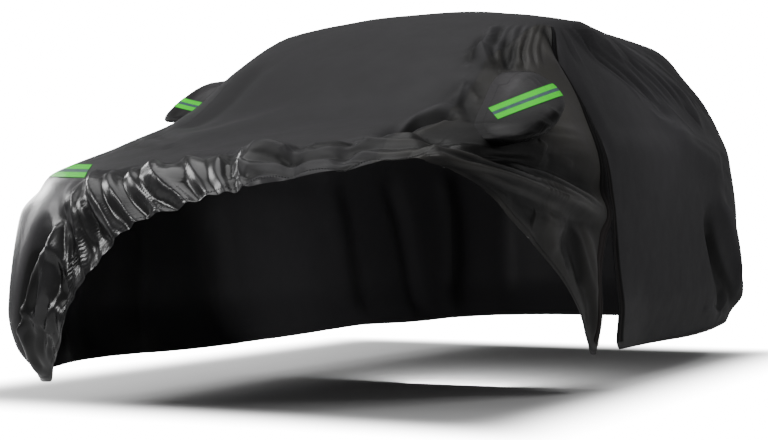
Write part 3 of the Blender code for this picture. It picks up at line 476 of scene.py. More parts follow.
# Gathers of the elastic, worked out from the way along the lower edge and the distance up from it.
gatherLook = {
    "seed": 11,
    "reach": 0.62,  # how far from the edge this is worked out at all
    "edgeSamples": 1600,
    "frontTurns": (-0.075, 0.245),
    "slant": 0.36,  # the gathers lean as they run up from the edge
    "bend": 0.016,  # and swing from side to side by this much, over this length
    "bendLength": 0.11,
    "shineReach": 0.30,
    "rim": 0.05,  # nearest to the edge they are lower
    "spacing": 0.100,
    "height": 0.016,
    "middle": 0.150,  # way up from the edge where they are highest, and how far they spread from there
    "spread": 0.150,
    "strength": (  # turn of the edge, gathers, shine
        (-0.075, 0.00, 0.15), (-0.050, 0.10, 0.55), (-0.038, 0.40, 0.75), (-0.028, 1.00, 0.95),
        (0.006, 1.00, 0.80), (0.020, 0.45, 0.15), (0.045, 0.15, 0.10), (0.070, 0.00, 0.12),
        (0.110, 0.00, 0.10), (0.160, 0.00, 0.10), (0.200, 0.00, 0.10), (0.245, 0.00, 0.10)),
}


def lineNoise(places, seed):
    # smooth noise along a line, from -1 to 1
    values = np.random.RandomState(seed).uniform(-1.0, 1.0, 4096)
    cell = np.floor(places).astype(int)
    share = smoothStep(places - cell)
    return values[cell % 4096] * (1.0 - share) + values[(cell + 1) % 4096] * share


def edgePlaces(points):
    # way along the lower edge, distance from it, and the edge's turn there
    turns = np.linspace(*gatherLook["frontTurns"], gatherLook["edgeSamples"])
    table = np.array(coverForm["lowerEdge"])
    edge = bareCloth(turns, smoothCurve(table[:, 0], table[:, 1], turns))
    along = np.concatenate([[0.0], np.cumsum(np.linalg.norm(np.diff(edge, axis=0), axis=1))])
    tree = kdtree.KDTree(len(edge))
    for index, place in enumerate(edge):
        tree.insert(place, index)
    tree.balance()
    flat = points.reshape(-1, 3)
    way, gap, turn = np.zeros(len(flat)), np.full(len(flat), 9.0), np.zeros(len(flat))
    reach = gatherLook["reach"]
    near = np.all((flat > edge.min(axis=0) - reach) & (flat < edge.max(axis=0) + reach), axis=1)
    for index in np.flatnonzero(near):
        _, found, distance = tree.find(flat[index])
        way[index], gap[index], turn[index] = along[found], distance, turns[found]
    shape = points.shape[:-1]
    return way.reshape(shape), gap.reshape(shape), turn.reshape(shape)


def gathers(points):
    # heights of the gathers, and how shiny the cloth is
    way, gap, turn = edgePlaces(points)
    table = np.array(gatherLook["strength"])
    near = gap < gatherLook["reach"]
    strength = np.interp(turn, table[:, 0], table[:, 1]) * near
    shine = np.interp(turn, table[:, 0], table[:, 2]) * near * np.exp(-(gap / gatherLook["shineReach"]) ** 6)
    seed = gatherLook["seed"]
    across = way - gatherLook["slant"] * gap + gatherLook["bend"] * lineNoise(gap / gatherLook["bendLength"], seed)
    crest = (1.0 - np.abs(lineNoise(across / gatherLook["spacing"], seed + 1))) ** 1.5 - 0.5
    keep = np.exp(-((gap - gatherLook["middle"]) / gatherLook["spread"]) ** 2)
    keep = keep * smoothStep(gap / gatherLook["rim"] + 0.25)
    return gatherLook["height"] * crest * keep * strength, shine


# Stretches of cloth painted darker as painted shade (below zero) or paler as painted light (above): turn, rise, reach,
# amount.
paintedLightPatches = (
    (0.150, 0.335, 0.26, -1.2), (0.080, 0.445, 0.14, -1.0), (0.110, 0.400, 0.18, -0.8), (0.200, 0.290, 0.16, -0.8),
    (0.168, 0.520, 0.24, 2.0), (0.290, 0.560, 0.60, 1.7), (0.262, 0.390, 0.35, 0.9), (0.330, 0.120, 0.50, -0.2),
    (0.145, 0.700, 0.16, 0.6), (-0.050, 0.345, 0.14, 3.2), (-0.066, 0.270, 0.20, 2.4), (-0.075, 0.150, 0.22, 1.2),
    (0.350, 0.200, 0.16, 0.8), (0.028, 0.425, 0.13, -0.8), (0.050, 0.430, 0.12, -0.9), (0.070, 0.700, 0.10, -0.7),
    (0.062, 0.620, 0.10, -0.8), (0.010, 0.420, 0.08, -0.4),
)
# The same painted light and shade along lines: three (turn, rise) places, half width, painted shade or light (below or
# above zero), shine.
paintedLightLines = (
    (-0.034, 0.240, -0.038, 0.150, -0.043, 0.050, 0.028, -3.0, -0.8),
    (-0.046, 0.230, -0.055, 0.160, -0.064, 0.060, 0.035, -4.0, -0.9),
    (-0.030, 0.100, -0.035, 0.075, -0.036, 0.040, 0.014, -2.0, -0.4),
    (-0.032, 0.220, -0.031, 0.165, -0.034, 0.105, 0.013, 2.4, 0.3),
    (-0.034, 0.112, -0.045, 0.062, -0.041, 0.014, 0.013, 3.2, 0.3),
    (0.140, 0.362, 0.180, 0.316, 0.226, 0.268, 0.011, 1.4, 0.3),
    (0.083, 0.403, 0.150, 0.330, 0.226, 0.257, 0.011, 1.2, 0.3),
    (0.091, 0.364, 0.150, 0.312, 0.227, 0.252, 0.011, 1.2, 0.3),
    (0.101, 0.350, 0.143, 0.301, 0.189, 0.263, 0.012, 0.8, 0.2),
    (0.105, 0.400, 0.160, 0.348, 0.221, 0.287, 0.035, -0.8, 0.0),
    (0.329, 0.290, 0.352, 0.195, 0.380, 0.110, 0.022, 2.4, 0.1),
    (0.317, 0.260, 0.332, 0.170, 0.362, 0.085, 0.030, -0.9, 0.0),
    (0.051, 0.490, 0.046, 0.560, 0.076, 0.560, 0.018, -1.0, 0.0),
)
shinePatches = ((-0.050, 0.345, 0.11, 0.8), (-0.066, 0.275, 0.14, 0.5))


def drapedCloth(pocket, openShare):
    side = pocket["side"]
    turns, rises = clothPlaces(pocket, openShare)
    bare = bareCloth(turns, rises)
    fade = smoothStep((1.0 - rises) / foldEnds["roofFade"])
    handMade = [crease for group in creases.values() for crease in group]
    handMade += [row for fan in creaseFans.values() for row in fanRows(*fan)]
    creased = foldHeight(bare, handMade)
    small, shine = gathers(bare)
    big = foldHeight(bare, bigFolds)
    height = (big + creased + small) * fade
    # painted light: crests painted paler as painted highlight, troughs and the hollows of big folds painted darker as
    # painted shade
    ridge = np.clip((creased + small) / foldEnds["paintedLightHeight"], -1.0, 1.0) + np.minimum(big, 0.0) / foldEnds["hollow"]
    for turn, rise, reach, amount in paintedLightPatches:
        away = np.linalg.norm(bare - bareCloth(turn, rise), axis=-1) / reach
        ridge = ridge + amount * np.exp(-away ** 2)
    for line in paintedLightLines:
        share = foldHeight(bare, [(*line[:7], 1.0, 2.0)])
        ridge, shine = ridge + line[7] * share, shine + line[8] * share
    ridge = np.clip(ridge, -1.0, 4.0)
    for turn, rise, reach, amount in shinePatches:
        away = np.linalg.norm(bare - bareCloth(turn, rise), axis=-1) / reach
        shine = np.clip(shine + amount * np.exp(-away ** 2), 0.0, 1.0)
    normal = clothNormal(turns, rises)
    points = bare + normal * height[..., None]
    points[..., 2] -= coverForm["roofRest"]
    # lengths on the cloth, for the weave
    across = np.cumsum(np.pad(np.linalg.norm(np.diff(bare, axis=0), axis=-1), ((1, 0), (0, 0))), axis=0)
    upward = np.cumsum(np.pad(np.linalg.norm(np.diff(bare, axis=1), axis=-1), ((0, 0), (1, 0))), axis=1)
    middle = across.shape[1] // 2
    weave = np.stack([np.broadcast_to(across[:, middle:middle + 1], upward.shape), upward], axis=-1)
    return {"points": points, "normal": normal, "shine": shine, "ridge": ridge, "weave": weave,
            "bare": bare, "side": side}


flapSide = drapedCloth(leftPocket, 1.0)
rearSide = drapedCloth(leftPocket, 0.0)
rightSide = drapedCloth(rightPocket, 0.0)
print("cloth draped:", flapSide["points"].shape)


def cellPlaces():
    columns = (gridColumns[:-1] + gridColumns[1:])[:, None] / 2.0
    rows = (gridRows[:-1] + gridRows[1:])[None, :] / 2.0
    return np.broadcast_arrays(columns, rows)


cellColumn, cellRow = cellPlaces()


def inPocket(pocket):
    rearward, upward = pocketPlace(pocket, cellColumn, cellRow)
    return np.maximum(np.abs(rearward), np.abs(upward)) < 1.0


topCells = (cellColumn < frontColumn) | (cellColumn > tailColumn) | (cellRow > coverForm["sideRows"])
flapCells = ~topCells & (cellColumn < zipColumn) & ~inPocket(leftPocket)
rearCells = ~topCells & (cellColumn > zipColumn)
rightCells = ~topCells & ~inPocket(rightPocket)


def clothMesh(name, halves):
    # one mesh from wanted cells of one or two halves, joined where they meet
    verts, faces, weave, shine, ridge = [], [], [], [], []
    for half, wanted in halves:
        columns, rows = half["points"].shape[:2]
        used = np.zeros((columns, rows), bool)
        i, j = np.nonzero(wanted)
        for di, dj in ((0, 0), (1, 0), (1, 1), (0, 1)):
            used[i + di, j + dj] = True
        number = np.full((columns, rows), -1)
        number[used] = np.arange(used.sum()) + len(verts)
        quads = np.stack([number[i, j], number[i + 1, j], number[i + 1, j + 1], number[i, j + 1]], axis=1)
        if half["side"] < 0:
            quads = quads[:, ::-1]
        verts += half["points"][used].tolist()
        faces += quads.tolist()
        weave += (half["weave"][used] * (half["side"], 1.0)).tolist()
        shine += half["shine"][used].tolist()
        ridge += half["ridge"][used].tolist()
    mesh = bpy.data.meshes.new(name)
    mesh.from_pydata(verts, [], faces)
    weaveLayer = mesh.attributes.new("weave", "FLOAT_VECTOR", "POINT")
    weaveLayer.data.foreach_set("vector", np.c_[np.array(weave), np.zeros(len(weave))].ravel().astype(np.float32))
    for label, values in (("shine", shine), ("ridge", ridge)):
        layer = mesh.attributes.new(label, "FLOAT", "POINT")
        layer.data.foreach_set("value", np.array(values, np.float32))
    work = bmesh.new()
    work.from_mesh(mesh)
    bmesh.ops.remove_doubles(work, verts=work.verts, dist=0.0002)
    bmesh.ops.dissolve_degenerate(work, edges=work.edges, dist=0.0001)
    work.to_mesh(mesh)
    work.free()
    mesh.shade_smooth()
    return mesh


def plainGrid(points, side, ridge=None):
    # a grid of cloth without weave or shine
    zeros = np.zeros(points.shape[:2])
    return {"points": points, "weave": np.stack([zeros, zeros], axis=-1), "side": side, "shine": zeros,
            "ridge": zeros if ridge is None else ridge}


def wholeMesh(name, part):
    # a mesh of all cells of one grid
    return clothMesh(name, [(part, np.ones(tuple(size - 1 for size in part["points"].shape[:2]), bool))])


def addPiece(name, mesh, *materials):
    piece = bpy.data.objects.new(name, mesh)
    bpy.context.scene.collection.objects.link(piece)
    for material in materials:
        mesh.materials.append(material)
    return piece


def bakeModifiers(piece):
    # the evaluated shape becomes the piece's own mesh
    depsgraph = bpy.context.evaluated_depsgraph_get()
    mesh = bpy.data.meshes.new_from_object(piece.evaluated_get(depsgraph), preserve_all_data_layers=True,
                                           depsgraph=depsgraph)
    old = piece.data
    piece.modifiers.clear()
    piece.data = mesh
    mesh.name = piece.name
    if old.users == 0:
        bpy.data.meshes.remove(old)


def thicken(piece, thickness):
    solid = piece.modifiers.new("thickness", "SOLIDIFY")
    solid.thickness = thickness
    solid.offset = -1.0
    bakeModifiers(piece)
    piece.data.set_sharp_from_angle(angle=math.radians(72.0))  # crisp rims, so that seams stay discreet


# Materials
def nodeGroup(name, inputs, outputs):
    group = bpy.data.node_groups.new(name, "ShaderNodeTree")
    for label, kind, default in inputs:
        socket = group.interface.new_socket(label, in_out="INPUT", socket_type=kind)
        if default is not None:
            socket.default_value = default
    for label, kind in outputs:
        group.interface.new_socket(label, in_out="OUTPUT", socket_type=kind)
    return group, group.nodes.new("NodeGroupInput"), group.nodes.new("NodeGroupOutput")


def feed(tree, value, socket):
    # a number or a colour is set on the socket, another node's output is linked to it
    if isinstance(value, (int, float, tuple)):
        socket.default_value = value
    else:
        tree.links.new(value, socket)


def mathNode(tree, operation, *values):
    node = tree.nodes.new("ShaderNodeMath")
    node.operation = operation
    for socket, value in zip(node.inputs, values):
        feed(tree, value, socket)
    return node.outputs[0]


def times(tree, first, second):
    return mathNode(tree, "MULTIPLY", first, second)


def plus(tree, first, second):
    return mathNode(tree, "ADD", first, second)


def mixColours(tree, share, first, second):
    node = tree.nodes.new("ShaderNodeMix")
    node.data_type = "RGBA"
    for index, value in ((0, share), (6, first), (7, second)):
        feed(tree, value, node.inputs[index])
    return node.outputs[2]


def noiseNode(tree, vector, scale, detail=3.0, roughness=0.55):
    node = tree.nodes.new("ShaderNodeTexNoise")
    node.inputs["Scale"].default_value = scale
    node.inputs["Detail"].default_value = detail
    node.inputs["Roughness"].default_value = roughness
    tree.links.new(vector, node.inputs["Vector"])
    return node.outputs["Fac"]


def weaveGroup():
    # plain weave of fine threads over a length of cloth measured in metres
    group, inward, outward = nodeGroup("plainWeave", (
        ("Cloth", "NodeSocketVector", None), ("Threads per metre", "NodeSocketFloat", 420.0)), (
        ("Height", "NodeSocketFloat"), ("Thread", "NodeSocketFloat")))
    separate = group.nodes.new("ShaderNodeSeparateXYZ")
    group.links.new(inward.outputs["Cloth"], separate.inputs[0])
    threads = times(group, inward.outputs["Threads per metre"], math.pi)
    warp = mathNode(group, "SINE", times(group, separate.outputs[0], threads))
    weft = mathNode(group, "SINE", times(group, separate.outputs[1], threads))
    height = plus(group, times(group, times(group, warp, weft), 0.5), 0.5)  # from 0 to 1
    group.links.new(height, outward.inputs["Height"])
    slub = noiseNode(group, inward.outputs["Cloth"], 90.0, 2.0)
    thread = times(group, slub, plus(group, times(group, height, 0.3), 0.7))
    group.links.new(thread, outward.inputs["Thread"])
    return group


def crumpleGroup():
    # fine creases pressed into the cloth by folding, as a height
    group, inward, outward = nodeGroup("pressedCreases", (
        ("Place", "NodeSocketVector", None), ("Size", "NodeSocketFloat", 14.0)), (("Height", "NodeSocketFloat"),))
    bend = group.nodes.new("ShaderNodeTexNoise")
    bend.inputs["Scale"].default_value = 6.0
    bend.inputs["Detail"].default_value = 2.0
    group.links.new(inward.outputs["Place"], bend.inputs["Vector"])
    moved = group.nodes.new("ShaderNodeVectorMath")
    moved.operation = "MULTIPLY_ADD"
    group.links.new(bend.outputs["Color"], moved.inputs[0])
    moved.inputs[1].default_value = (0.08, 0.08, 0.08)
    group.links.new(inward.outputs["Place"], moved.inputs[2])
    total = None
    for scale, weight in ((1.0, 1.0), (2.7, 0.5)):
        cells = group.nodes.new("ShaderNodeTexVoronoi")
        cells.feature = "DISTANCE_TO_EDGE"
        group.links.new(times(group, inward.outputs["Size"], scale), cells.inputs["Scale"])
        group.links.new(moved.outputs[0], cells.inputs["Vector"])
        part = times(group, mathNode(group, "MINIMUM", cells.outputs["Distance"], 0.35), weight)
        total = part if total is None else plus(group, total, part)
    group.links.new(total, outward.inputs["Height"])
    return group


plainWeave = weaveGroup()
pressedCreases = crumpleGroup()


def attributeNode(tree, name):
    node = tree.nodes.new("ShaderNodeAttribute")
    node.attribute_name = name
    return node


def addBump(tree, height, distance, strength=1.0):
    bump = tree.nodes.new("ShaderNodeBump")
    bump.inputs["Strength"].default_value = strength
    bump.inputs["Distance"].default_value = distance
    tree.links.new(height, bump.inputs["Height"])
    tree.links.new(bump.outputs[0], tree.nodes["Principled BSDF"].inputs["Normal"])


def newMaterial(name):
    material = bpy.data.materials.new(name)
    material.use_nodes = True
    tree = material.node_tree
    return material, tree, tree.nodes["Principled BSDF"], tree.nodes.new("ShaderNodeTexCoord").outputs["Object"]


def clothMaterial(name, look):
    material, tree, shader, place = newMaterial(name)
    weave = tree.nodes.new("ShaderNodeGroup")
    weave.node_tree = plainWeave
    weave.inputs["Threads per metre"].default_value = look["threads"]
    tree.links.new(attributeNode(tree, "weave").outputs["Vector"], weave.inputs["Cloth"])
    shine = attributeNode(tree, "shine").outputs["Fac"]
    patches = noiseNode(tree, place, look["patchScale"], 4.0)
    cloudy = noiseNode(tree, place, look["cloudScale"], 4.0)
    mixed = mixColours(tree, patches, look["dark"], look["light"])
    mixed = mixColours(tree, times(tree, cloudy, look["mottle"]), mixed, look["tint"])
    threadShare = times(tree, weave.outputs["Thread"], look["threadShow"])
    # painted light in the base colour: paler on crests as painted highlight, darker in troughs as painted shade
    ridge = attributeNode(tree, "ridge").outputs["Fac"]
    wearAndPaintedHighlight = times(tree, mathNode(tree, "MAXIMUM", ridge, 0.0), look["wearAndPaintedHighlight"])
    paintedShade = times(tree, mathNode(tree, "MINIMUM", ridge, 0.0), look["paintedShade"])
    tone = tree.nodes.new("ShaderNodeVectorMath")
    tone.operation = "SCALE"
    tree.links.new(mixColours(tree, threadShare, mixed, look["thread"]), tone.inputs[0])
    deep = mathNode(tree, "SUBTRACT", 1.0, times(tree, shine, look["shineDark"]))
    tree.links.new(times(tree, plus(tree, plus(tree, wearAndPaintedHighlight, paintedShade), 1.0), deep), tone.inputs["Scale"])
    tree.links.new(tone.outputs[0], shader.inputs["Base Color"])
    rough = mathNode(tree, "SUBTRACT", look["roughness"], times(tree, shine, look["shineDrop"]))
    rough = plus(tree, rough, times(tree, mathNode(tree, "SUBTRACT", cloudy, 0.5), look["roughSpread"]))
    tree.links.new(rough, shader.inputs["Roughness"])
    creaseNode = tree.nodes.new("ShaderNodeGroup")
    creaseNode.node_tree = pressedCreases
    creaseNode.inputs["Size"].default_value = look["creaseSize"]
    tree.links.new(place, creaseNode.inputs["Place"])
    creaseShare = plus(tree, times(tree, shine, look["creaseShine"]), look["creaseBase"])
    soft = times(tree, noiseNode(tree, place, look["softScale"], 3.0), look["soft"])
    height = times(tree, creaseNode.outputs["Height"], creaseShare)
    height = plus(tree, height, soft)
    height = plus(tree, height, times(tree, weave.outputs["Height"], look["weaveHeight"]))
    addBump(tree, height, 1.0, look["bump"])
    shader.inputs["Specular IOR Level"].default_value = look["specular"]
    tree.links.new(times(tree, shine, look["coat"]), shader.inputs["Coat Weight"])
    shader.inputs["Coat Roughness"].default_value = look["coatRoughness"]
    return material


clothLook = {  # the cover's own cloth; the other cloths change some of it
    "dark": (0.009, 0.009, 0.010, 1.0), "light": (0.015, 0.0145, 0.016, 1.0), "tint": (0.012, 0.0115, 0.012, 1.0),
    "thread": (0.028, 0.027, 0.029, 1.0), "threadShow": 0.35, "mottle": 0.5, "threads": 420.0,
    "wearAndPaintedHighlight": 0.5, "paintedShade": 0.88, "shineDark": 0.70,  # crests painted paler as painted highlight, troughs painted darker as painted shade, darker where it shines
    "roughness": 0.58, "shineDrop": 0.34, "creaseSize": 9.0, "creaseShine": 0.0002, "creaseBase": 0.0004,
    "soft": 0.004, "weaveHeight": 0.00012, "bump": 0.8, "specular": 0.15, "coat": 0.7,
    "patchScale": 1.7, "cloudScale": 9.0, "softScale": 4.0, "roughSpread": 0.16, "coatRoughness": 0.22,
}
coverCloth = clothMaterial("coverCloth", clothLook)
flapCloth = clothMaterial("flapCloth", {
    **clothLook,
    "dark": (0.007, 0.0065, 0.007, 1.0), "light": (0.013, 0.012, 0.013, 1.0), "tint": (0.013, 0.013, 0.009, 1.0),
    "thread": (0.024, 0.022, 0.023, 1.0), "mottle": 0.8, "wearAndPaintedHighlight": 0.8, "paintedShade": 0.90, "shineDark": 0.60,
    "roughness": 0.50, "shineDrop": 0.26, "creaseShine": 0.0003, "creaseBase": 0.0006, "soft": 0.006,
    "specular": 0.14, "coat": 0.9,
})
pocketCloth = clothMaterial("pocketCloth", {
    **clothLook,
    "dark": (0.006, 0.0055, 0.006, 1.0), "light": (0.013, 0.0125, 0.013, 1.0), "tint": (0.009, 0.0085, 0.009, 1.0),
    "thread": (0.024, 0.023, 0.025, 1.0), "mottle": 0.6, "wearAndPaintedHighlight": 1.0, "paintedShade": 0.85, "shineDark": 0.2,
    "roughness": 0.46, "shineDrop": 0.20, "creaseSize": 14.0, "creaseShine": 0.0010, "creaseBase": 0.0006,
    "soft": 0.003, "specular": 0.12, "coat": 0.12,
})


smallPartLook = {"grainScale": 600.0, "grainHeight": 0.0002, "wearScale": 14.0, "wear": 0.45, "specular": 0.1}


def plainMaterial(name, colour, roughness):
    material, tree, shader, place = newMaterial(name)
    grain = noiseNode(tree, place, smallPartLook["grainScale"], 2.0)
    wear = noiseNode(tree, place, smallPartLook["wearScale"], 4.0)
    lighter = tuple(min(1.0, part * 1.8 + 0.002) for part in colour[:3]) + (1.0,)
    wearAndPaintedHighlight = mixColours(tree, times(tree, wear, smallPartLook["wear"]), colour, lighter)
    tree.links.new(wearAndPaintedHighlight, shader.inputs["Base Color"])
    tree.links.new(plus(tree, times(tree, wear, 0.25), roughness - 0.12), shader.inputs["Roughness"])
    addBump(tree, grain, smallPartLook["grainHeight"])
    shader.inputs["Specular IOR Level"].default_value = smallPartLook["specular"]
    return material


threadMaterial = plainMaterial("sewingThread", (0.012, 0.012, 0.013, 1.0), 0.55)
toothMaterial = plainMaterial("zipTeeth", (0.010, 0.010, 0.011, 1.0), 0.35)


# The four panels of the cover
panelThickness = 0.0016
topCloth = addPiece("topCloth", clothMesh("topCloth", [(rearSide, topCells), (rightSide, topCells)]), coverCloth)
firstLine, lastLine = np.searchsorted(gridColumns, (frontColumn, tailColumn))
# the far side is plain, so every other line of its grid is enough
everyOther = {key: value[firstLine:lastLine + 1:2] if key != "side" else value for key, value in rightSide.items()}
rightCloth = addPiece("rightSideCloth", clothMesh(
    "rightSideCloth", [(everyOther, rightCells[firstLine:lastLine:2])]), coverCloth)
flap = addPiece("leftFrontCloth", clothMesh("leftFrontCloth", [(flapSide, flapCells)]), flapCloth)
rearPanel = addPiece("leftRearCloth", clothMesh("leftRearCloth", [(rearSide, rearCells)]), coverCloth)
for panel in (topCloth, rightCloth, flap, rearPanel):
    thicken(panel, panelThickness)
print("panels:", [len(panel.data.polygons) for panel in (topCloth, rightCloth, flap, rearPanel)])


pocketLook = {
    "roundness": 2.4,
    "pleats": (0.0022, 9.0, 5),  # height, how many to a radian and seed
    "sag": 0.010,
    "darkSide": (1.4, 0.6),  # how dark the painted shade is low and to the rear, and the way round to there
    "darkBelow": 0.6,
    "rimHighlight": (1.5, 0.86, 2.2),  # painted highlight along the upper rim: how pale, where it starts on the way to the seam, and the way round to its middle
    "shine": (0.30, 0.5, 2.3),  # on the upper half, at the seam, and the way round to its middle
}


def pocketMesh(name, pocket, half):
    # the pocket swells out of its oval seam, with a flat sewn rim and gathers that start at it
    firstColumn, firstRow = pocket["firstColumn"], pocket["firstRow"]
    columns = np.flatnonzero((gridColumns >= firstColumn) & (gridColumns <= firstColumn + pocket["columns"]))
    rows = np.flatnonzero((gridRows >= firstRow) & (gridRows <= firstRow + pocket["rows"]))
    block = np.ix_(columns, rows)
    rearward, upward = pocketPlace(pocket, gridColumns[columns][:, None], gridRows[rows][None, :])
    rearward, upward = np.broadcast_arrays(rearward, upward)
    reach = np.minimum(np.maximum(np.abs(rearward), np.abs(upward)), 1.0)
    lift = (1.0 - reach ** pocketLook["roundness"]) ** (1.0 / pocketLook["roundness"])
    around = np.arctan2(upward, rearward)
    swell = np.array(pocket["swell"]) * (pocket["side"], 1.0, 1.0)
    height, often, seed = pocketLook["pleats"]
    pleats = (height * np.abs(lineNoise(around * often + 40.0, seed)) * smoothStep((1.0 - reach) / 0.06)
              * smoothStep((reach - 0.35) / 0.4))
    sag = pocketLook["sag"] * np.sin(around * 2.0 + 0.6) * smoothStep((reach - 0.1) / 0.5) * (1.0 - reach)
    outward = swell / np.linalg.norm(swell)
    points = half["points"][block] + swell * lift[..., None] + outward * (pleats + sag)[..., None]
    # painted shade low and to the rear and on the lower half, and a painted highlight along the upper rim
    dark, middle = pocketLook["darkSide"]
    shade = -np.clip(dark * np.cos(around + middle), 0.0, 1.0) * smoothStep((reach - 0.05) / 0.45)
    shade = shade - pocketLook["darkBelow"] * smoothStep(-upward / 0.5)
    pale, start, middle = pocketLook["rimHighlight"]
    shade = shade + pale * smoothStep((reach - start) / 0.05) * np.clip(np.cos(around - middle), 0.0, 1.0) ** 4
    above, atSeam, middle = pocketLook["shine"]
    shine = (above * smoothStep(0.6 + upward)
             + atSeam * smoothStep((reach - 0.75) / 0.25) * (np.cos(around - middle) > 0.0))
    part = {"points": points, "weave": half["weave"][block], "side": pocket["side"], "ridge": shade, "shine": shine}
    return wholeMesh(name, part), points


leftMesh, leftPoints = pocketMesh("leftMirrorPocket", leftPocket, flapSide)
rightMesh, rightPoints = pocketMesh("rightMirrorPocket", rightPocket, rightSide)
leftBag = addPiece("leftMirrorPocket", leftMesh, pocketCloth)
rightBag = addPiece("rightMirrorPocket", rightMesh, pocketCloth)
for bag in (leftBag, rightBag):
    thicken(bag, panelThickness)
print("pockets made")


# Sewn lines: stitches laid along a path by geometry nodes
def stitchTree():
    tree = bpy.data.node_groups.new("stitchRow", "GeometryNodeTree")
    nodes, links = tree.nodes, tree.links
    for label, kind, default in (
            ("Geometry", "NodeSocketGeometry", None), ("Spacing", "NodeSocketFloat", 0.009),
            ("Length", "NodeSocketFloat", 0.006), ("Radius", "NodeSocketFloat", 0.0009),
            ("Thread", "NodeSocketMaterial", None)):
        socket = tree.interface.new_socket(label, in_out="INPUT", socket_type=kind)
        if default is not None:
            socket.default_value = default
    tree.interface.new_socket("Geometry", in_out="OUTPUT", socket_type="NodeSocketGeometry")
    inward, outward = nodes.new("NodeGroupInput"), nodes.new("NodeGroupOutput")
    spread = nodes.new("GeometryNodeCurveToPoints")
    spread.mode = "LENGTH"
    ball = nodes.new("GeometryNodeMeshUVSphere")
    for label, value in (("Segments", 6), ("Rings", 4), ("Radius", 1.0)):
        ball.inputs[label].default_value = value
    size = nodes.new("ShaderNodeCombineXYZ")
    place = nodes.new("GeometryNodeInstanceOnPoints")
    real = nodes.new("GeometryNodeRealizeInstances")
    smooth = nodes.new("GeometryNodeSetShadeSmooth")
    paint = nodes.new("GeometryNodeSetMaterial")
    halfLength = mathNode(tree, "MULTIPLY", inward.outputs["Length"], 0.5)
    for output, socket in (
            (inward.outputs["Geometry"], spread.inputs["Curve"]), (inward.outputs["Spacing"], spread.inputs["Length"]),
            (inward.outputs["Radius"], size.inputs[0]), (inward.outputs["Radius"], size.inputs[1]),
            (halfLength, size.inputs[2]), (spread.outputs["Points"], place.inputs["Points"]),
            (ball.outputs["Mesh"], place.inputs["Instance"]), (spread.outputs["Rotation"], place.inputs["Rotation"]),
            (size.outputs[0], place.inputs["Scale"]), (place.outputs[0], real.inputs[0]),
            (real.outputs[0], smooth.inputs[0]), (smooth.outputs[0], paint.inputs["Geometry"]),
            (inward.outputs["Thread"], paint.inputs["Material"]), (paint.outputs[0], outward.inputs[0])):
        links.new(output, socket)
    return tree


stitchRow = stitchTree()


def setInput(modifier, label, value):
    for item in modifier.node_group.interface.items_tree:
        if item.item_type == "SOCKET" and item.in_out == "INPUT" and item.name == label:
            modifier[item.identifier] = value


def pathObject(name, lines):
    curve = bpy.data.curves.new(name, "CURVE")
    curve.dimensions = "3D"
    for line in lines:
        spline = curve.splines.new("POLY")
        spline.points.add(len(line) - 1)
        for point, place in zip(spline.points, line):
            point.co = (*place, 1.0)
    path = bpy.data.objects.new(name, curve)
    bpy.context.scene.collection.objects.link(path)
    return path


def sewLines(name, lines, sizes, material):
    path = pathObject(name + "Path", lines)
    modifier = path.modifiers.new("stitches", "NODES")
    modifier.node_group = stitchRow
    for label, value in sizes.items():
        setInput(modifier, label, value)
    setInput(modifier, "Thread", material)
    depsgraph = bpy.context.evaluated_depsgraph_get()
    mesh = bpy.data.meshes.new_from_object(path.evaluated_get(depsgraph), depsgraph=depsgraph)
    bpy.data.objects.remove(path, do_unlink=True)
    mesh.name = name
    return addPiece(name, mesh, *([] if mesh.materials else [material]))


def onCloth(half, columns, rows, lift):
    # points on the draped grid at any column and row, lifted outwards
    points, normal = half["points"], half["normal"]
    i = np.clip(np.interp(columns, gridColumns, np.arange(len(gridColumns))), 0, len(gridColumns) - 1.001)
    j = np.clip(np.interp(rows, gridRows, np.arange(len(gridRows))), 0, len(gridRows) - 1.001)
    i0, j0 = i.astype(int), j.astype(int)
    fi, fj = (i - i0)[..., None], (j - j0)[..., None]

    def blend(grid):
        return ((grid[i0, j0] * (1 - fi) + grid[i0 + 1, j0] * fi) * (1 - fj)
                + (grid[i0, j0 + 1] * (1 - fi) + grid[i0 + 1, j0 + 1] * fi) * fj)
    spanI = points[np.minimum(i0 + 1, len(gridColumns) - 1), j0] - points[i0, j0]
    spanJ = points[i0, np.minimum(j0 + 1, len(gridRows) - 1)] - points[i0, j0]
    facing = np.cross(spanI, spanJ) * half["side"]
    length = np.linalg.norm(facing, axis=-1, keepdims=True)
    facing = np.where(length > 1e-12, facing / np.maximum(length, 1e-12), normal[i0, j0])
    return blend(points) + facing * lift


def rowAlong(half, column, distance):
    # the row that lies a distance up from the lower edge
    i = int(np.argmin(np.abs(gridColumns - column)))
    steps = np.linalg.norm(np.diff(half["points"][i], axis=0), axis=1)
    way = np.concatenate([[0.0], np.cumsum(steps)])
    return float(np.interp(distance, way, gridRows))


def hemLine(half, first, last, distance, lift=0.0006):
    columns = gridColumns[(gridColumns >= first) & (gridColumns <= last)]
    rows = np.array([rowAlong(half, column, distance) for column in columns])
    return onCloth(half, columns, rows, lift)


hemLook = {"rows": (0.024, 0.019), "stitch": {"Spacing": 0.010, "Length": 0.0065, "Radius": 0.0008}}
hemLines = []
for distance in hemLook["rows"]:
    hemLines += [hemLine(rearSide, zipColumn, lastColumn, distance), hemLine(rightSide, 0, lastColumn, distance),
                 hemLine(rearSide, 0, frontColumn, distance), hemLine(flapSide, frontColumn, zipColumn, distance)]
hemStitches = sewLines("hemStitches", hemLines, hemLook["stitch"], threadMaterial)
print("hem sewn:", len(hemStitches.data.polygons))


def seamLine(half, column):
    rows = gridRows[gridRows <= coverForm["sideRows"]]
    return onCloth(half, np.full(len(rows), column), rows, 0.0)


def railLine(half, row, firstColumn, endColumn):
    columns = gridColumns[(gridColumns >= firstColumn) & (gridColumns <= endColumn)]
    return onCloth(half, columns, np.full(len(columns), row), 0.0)


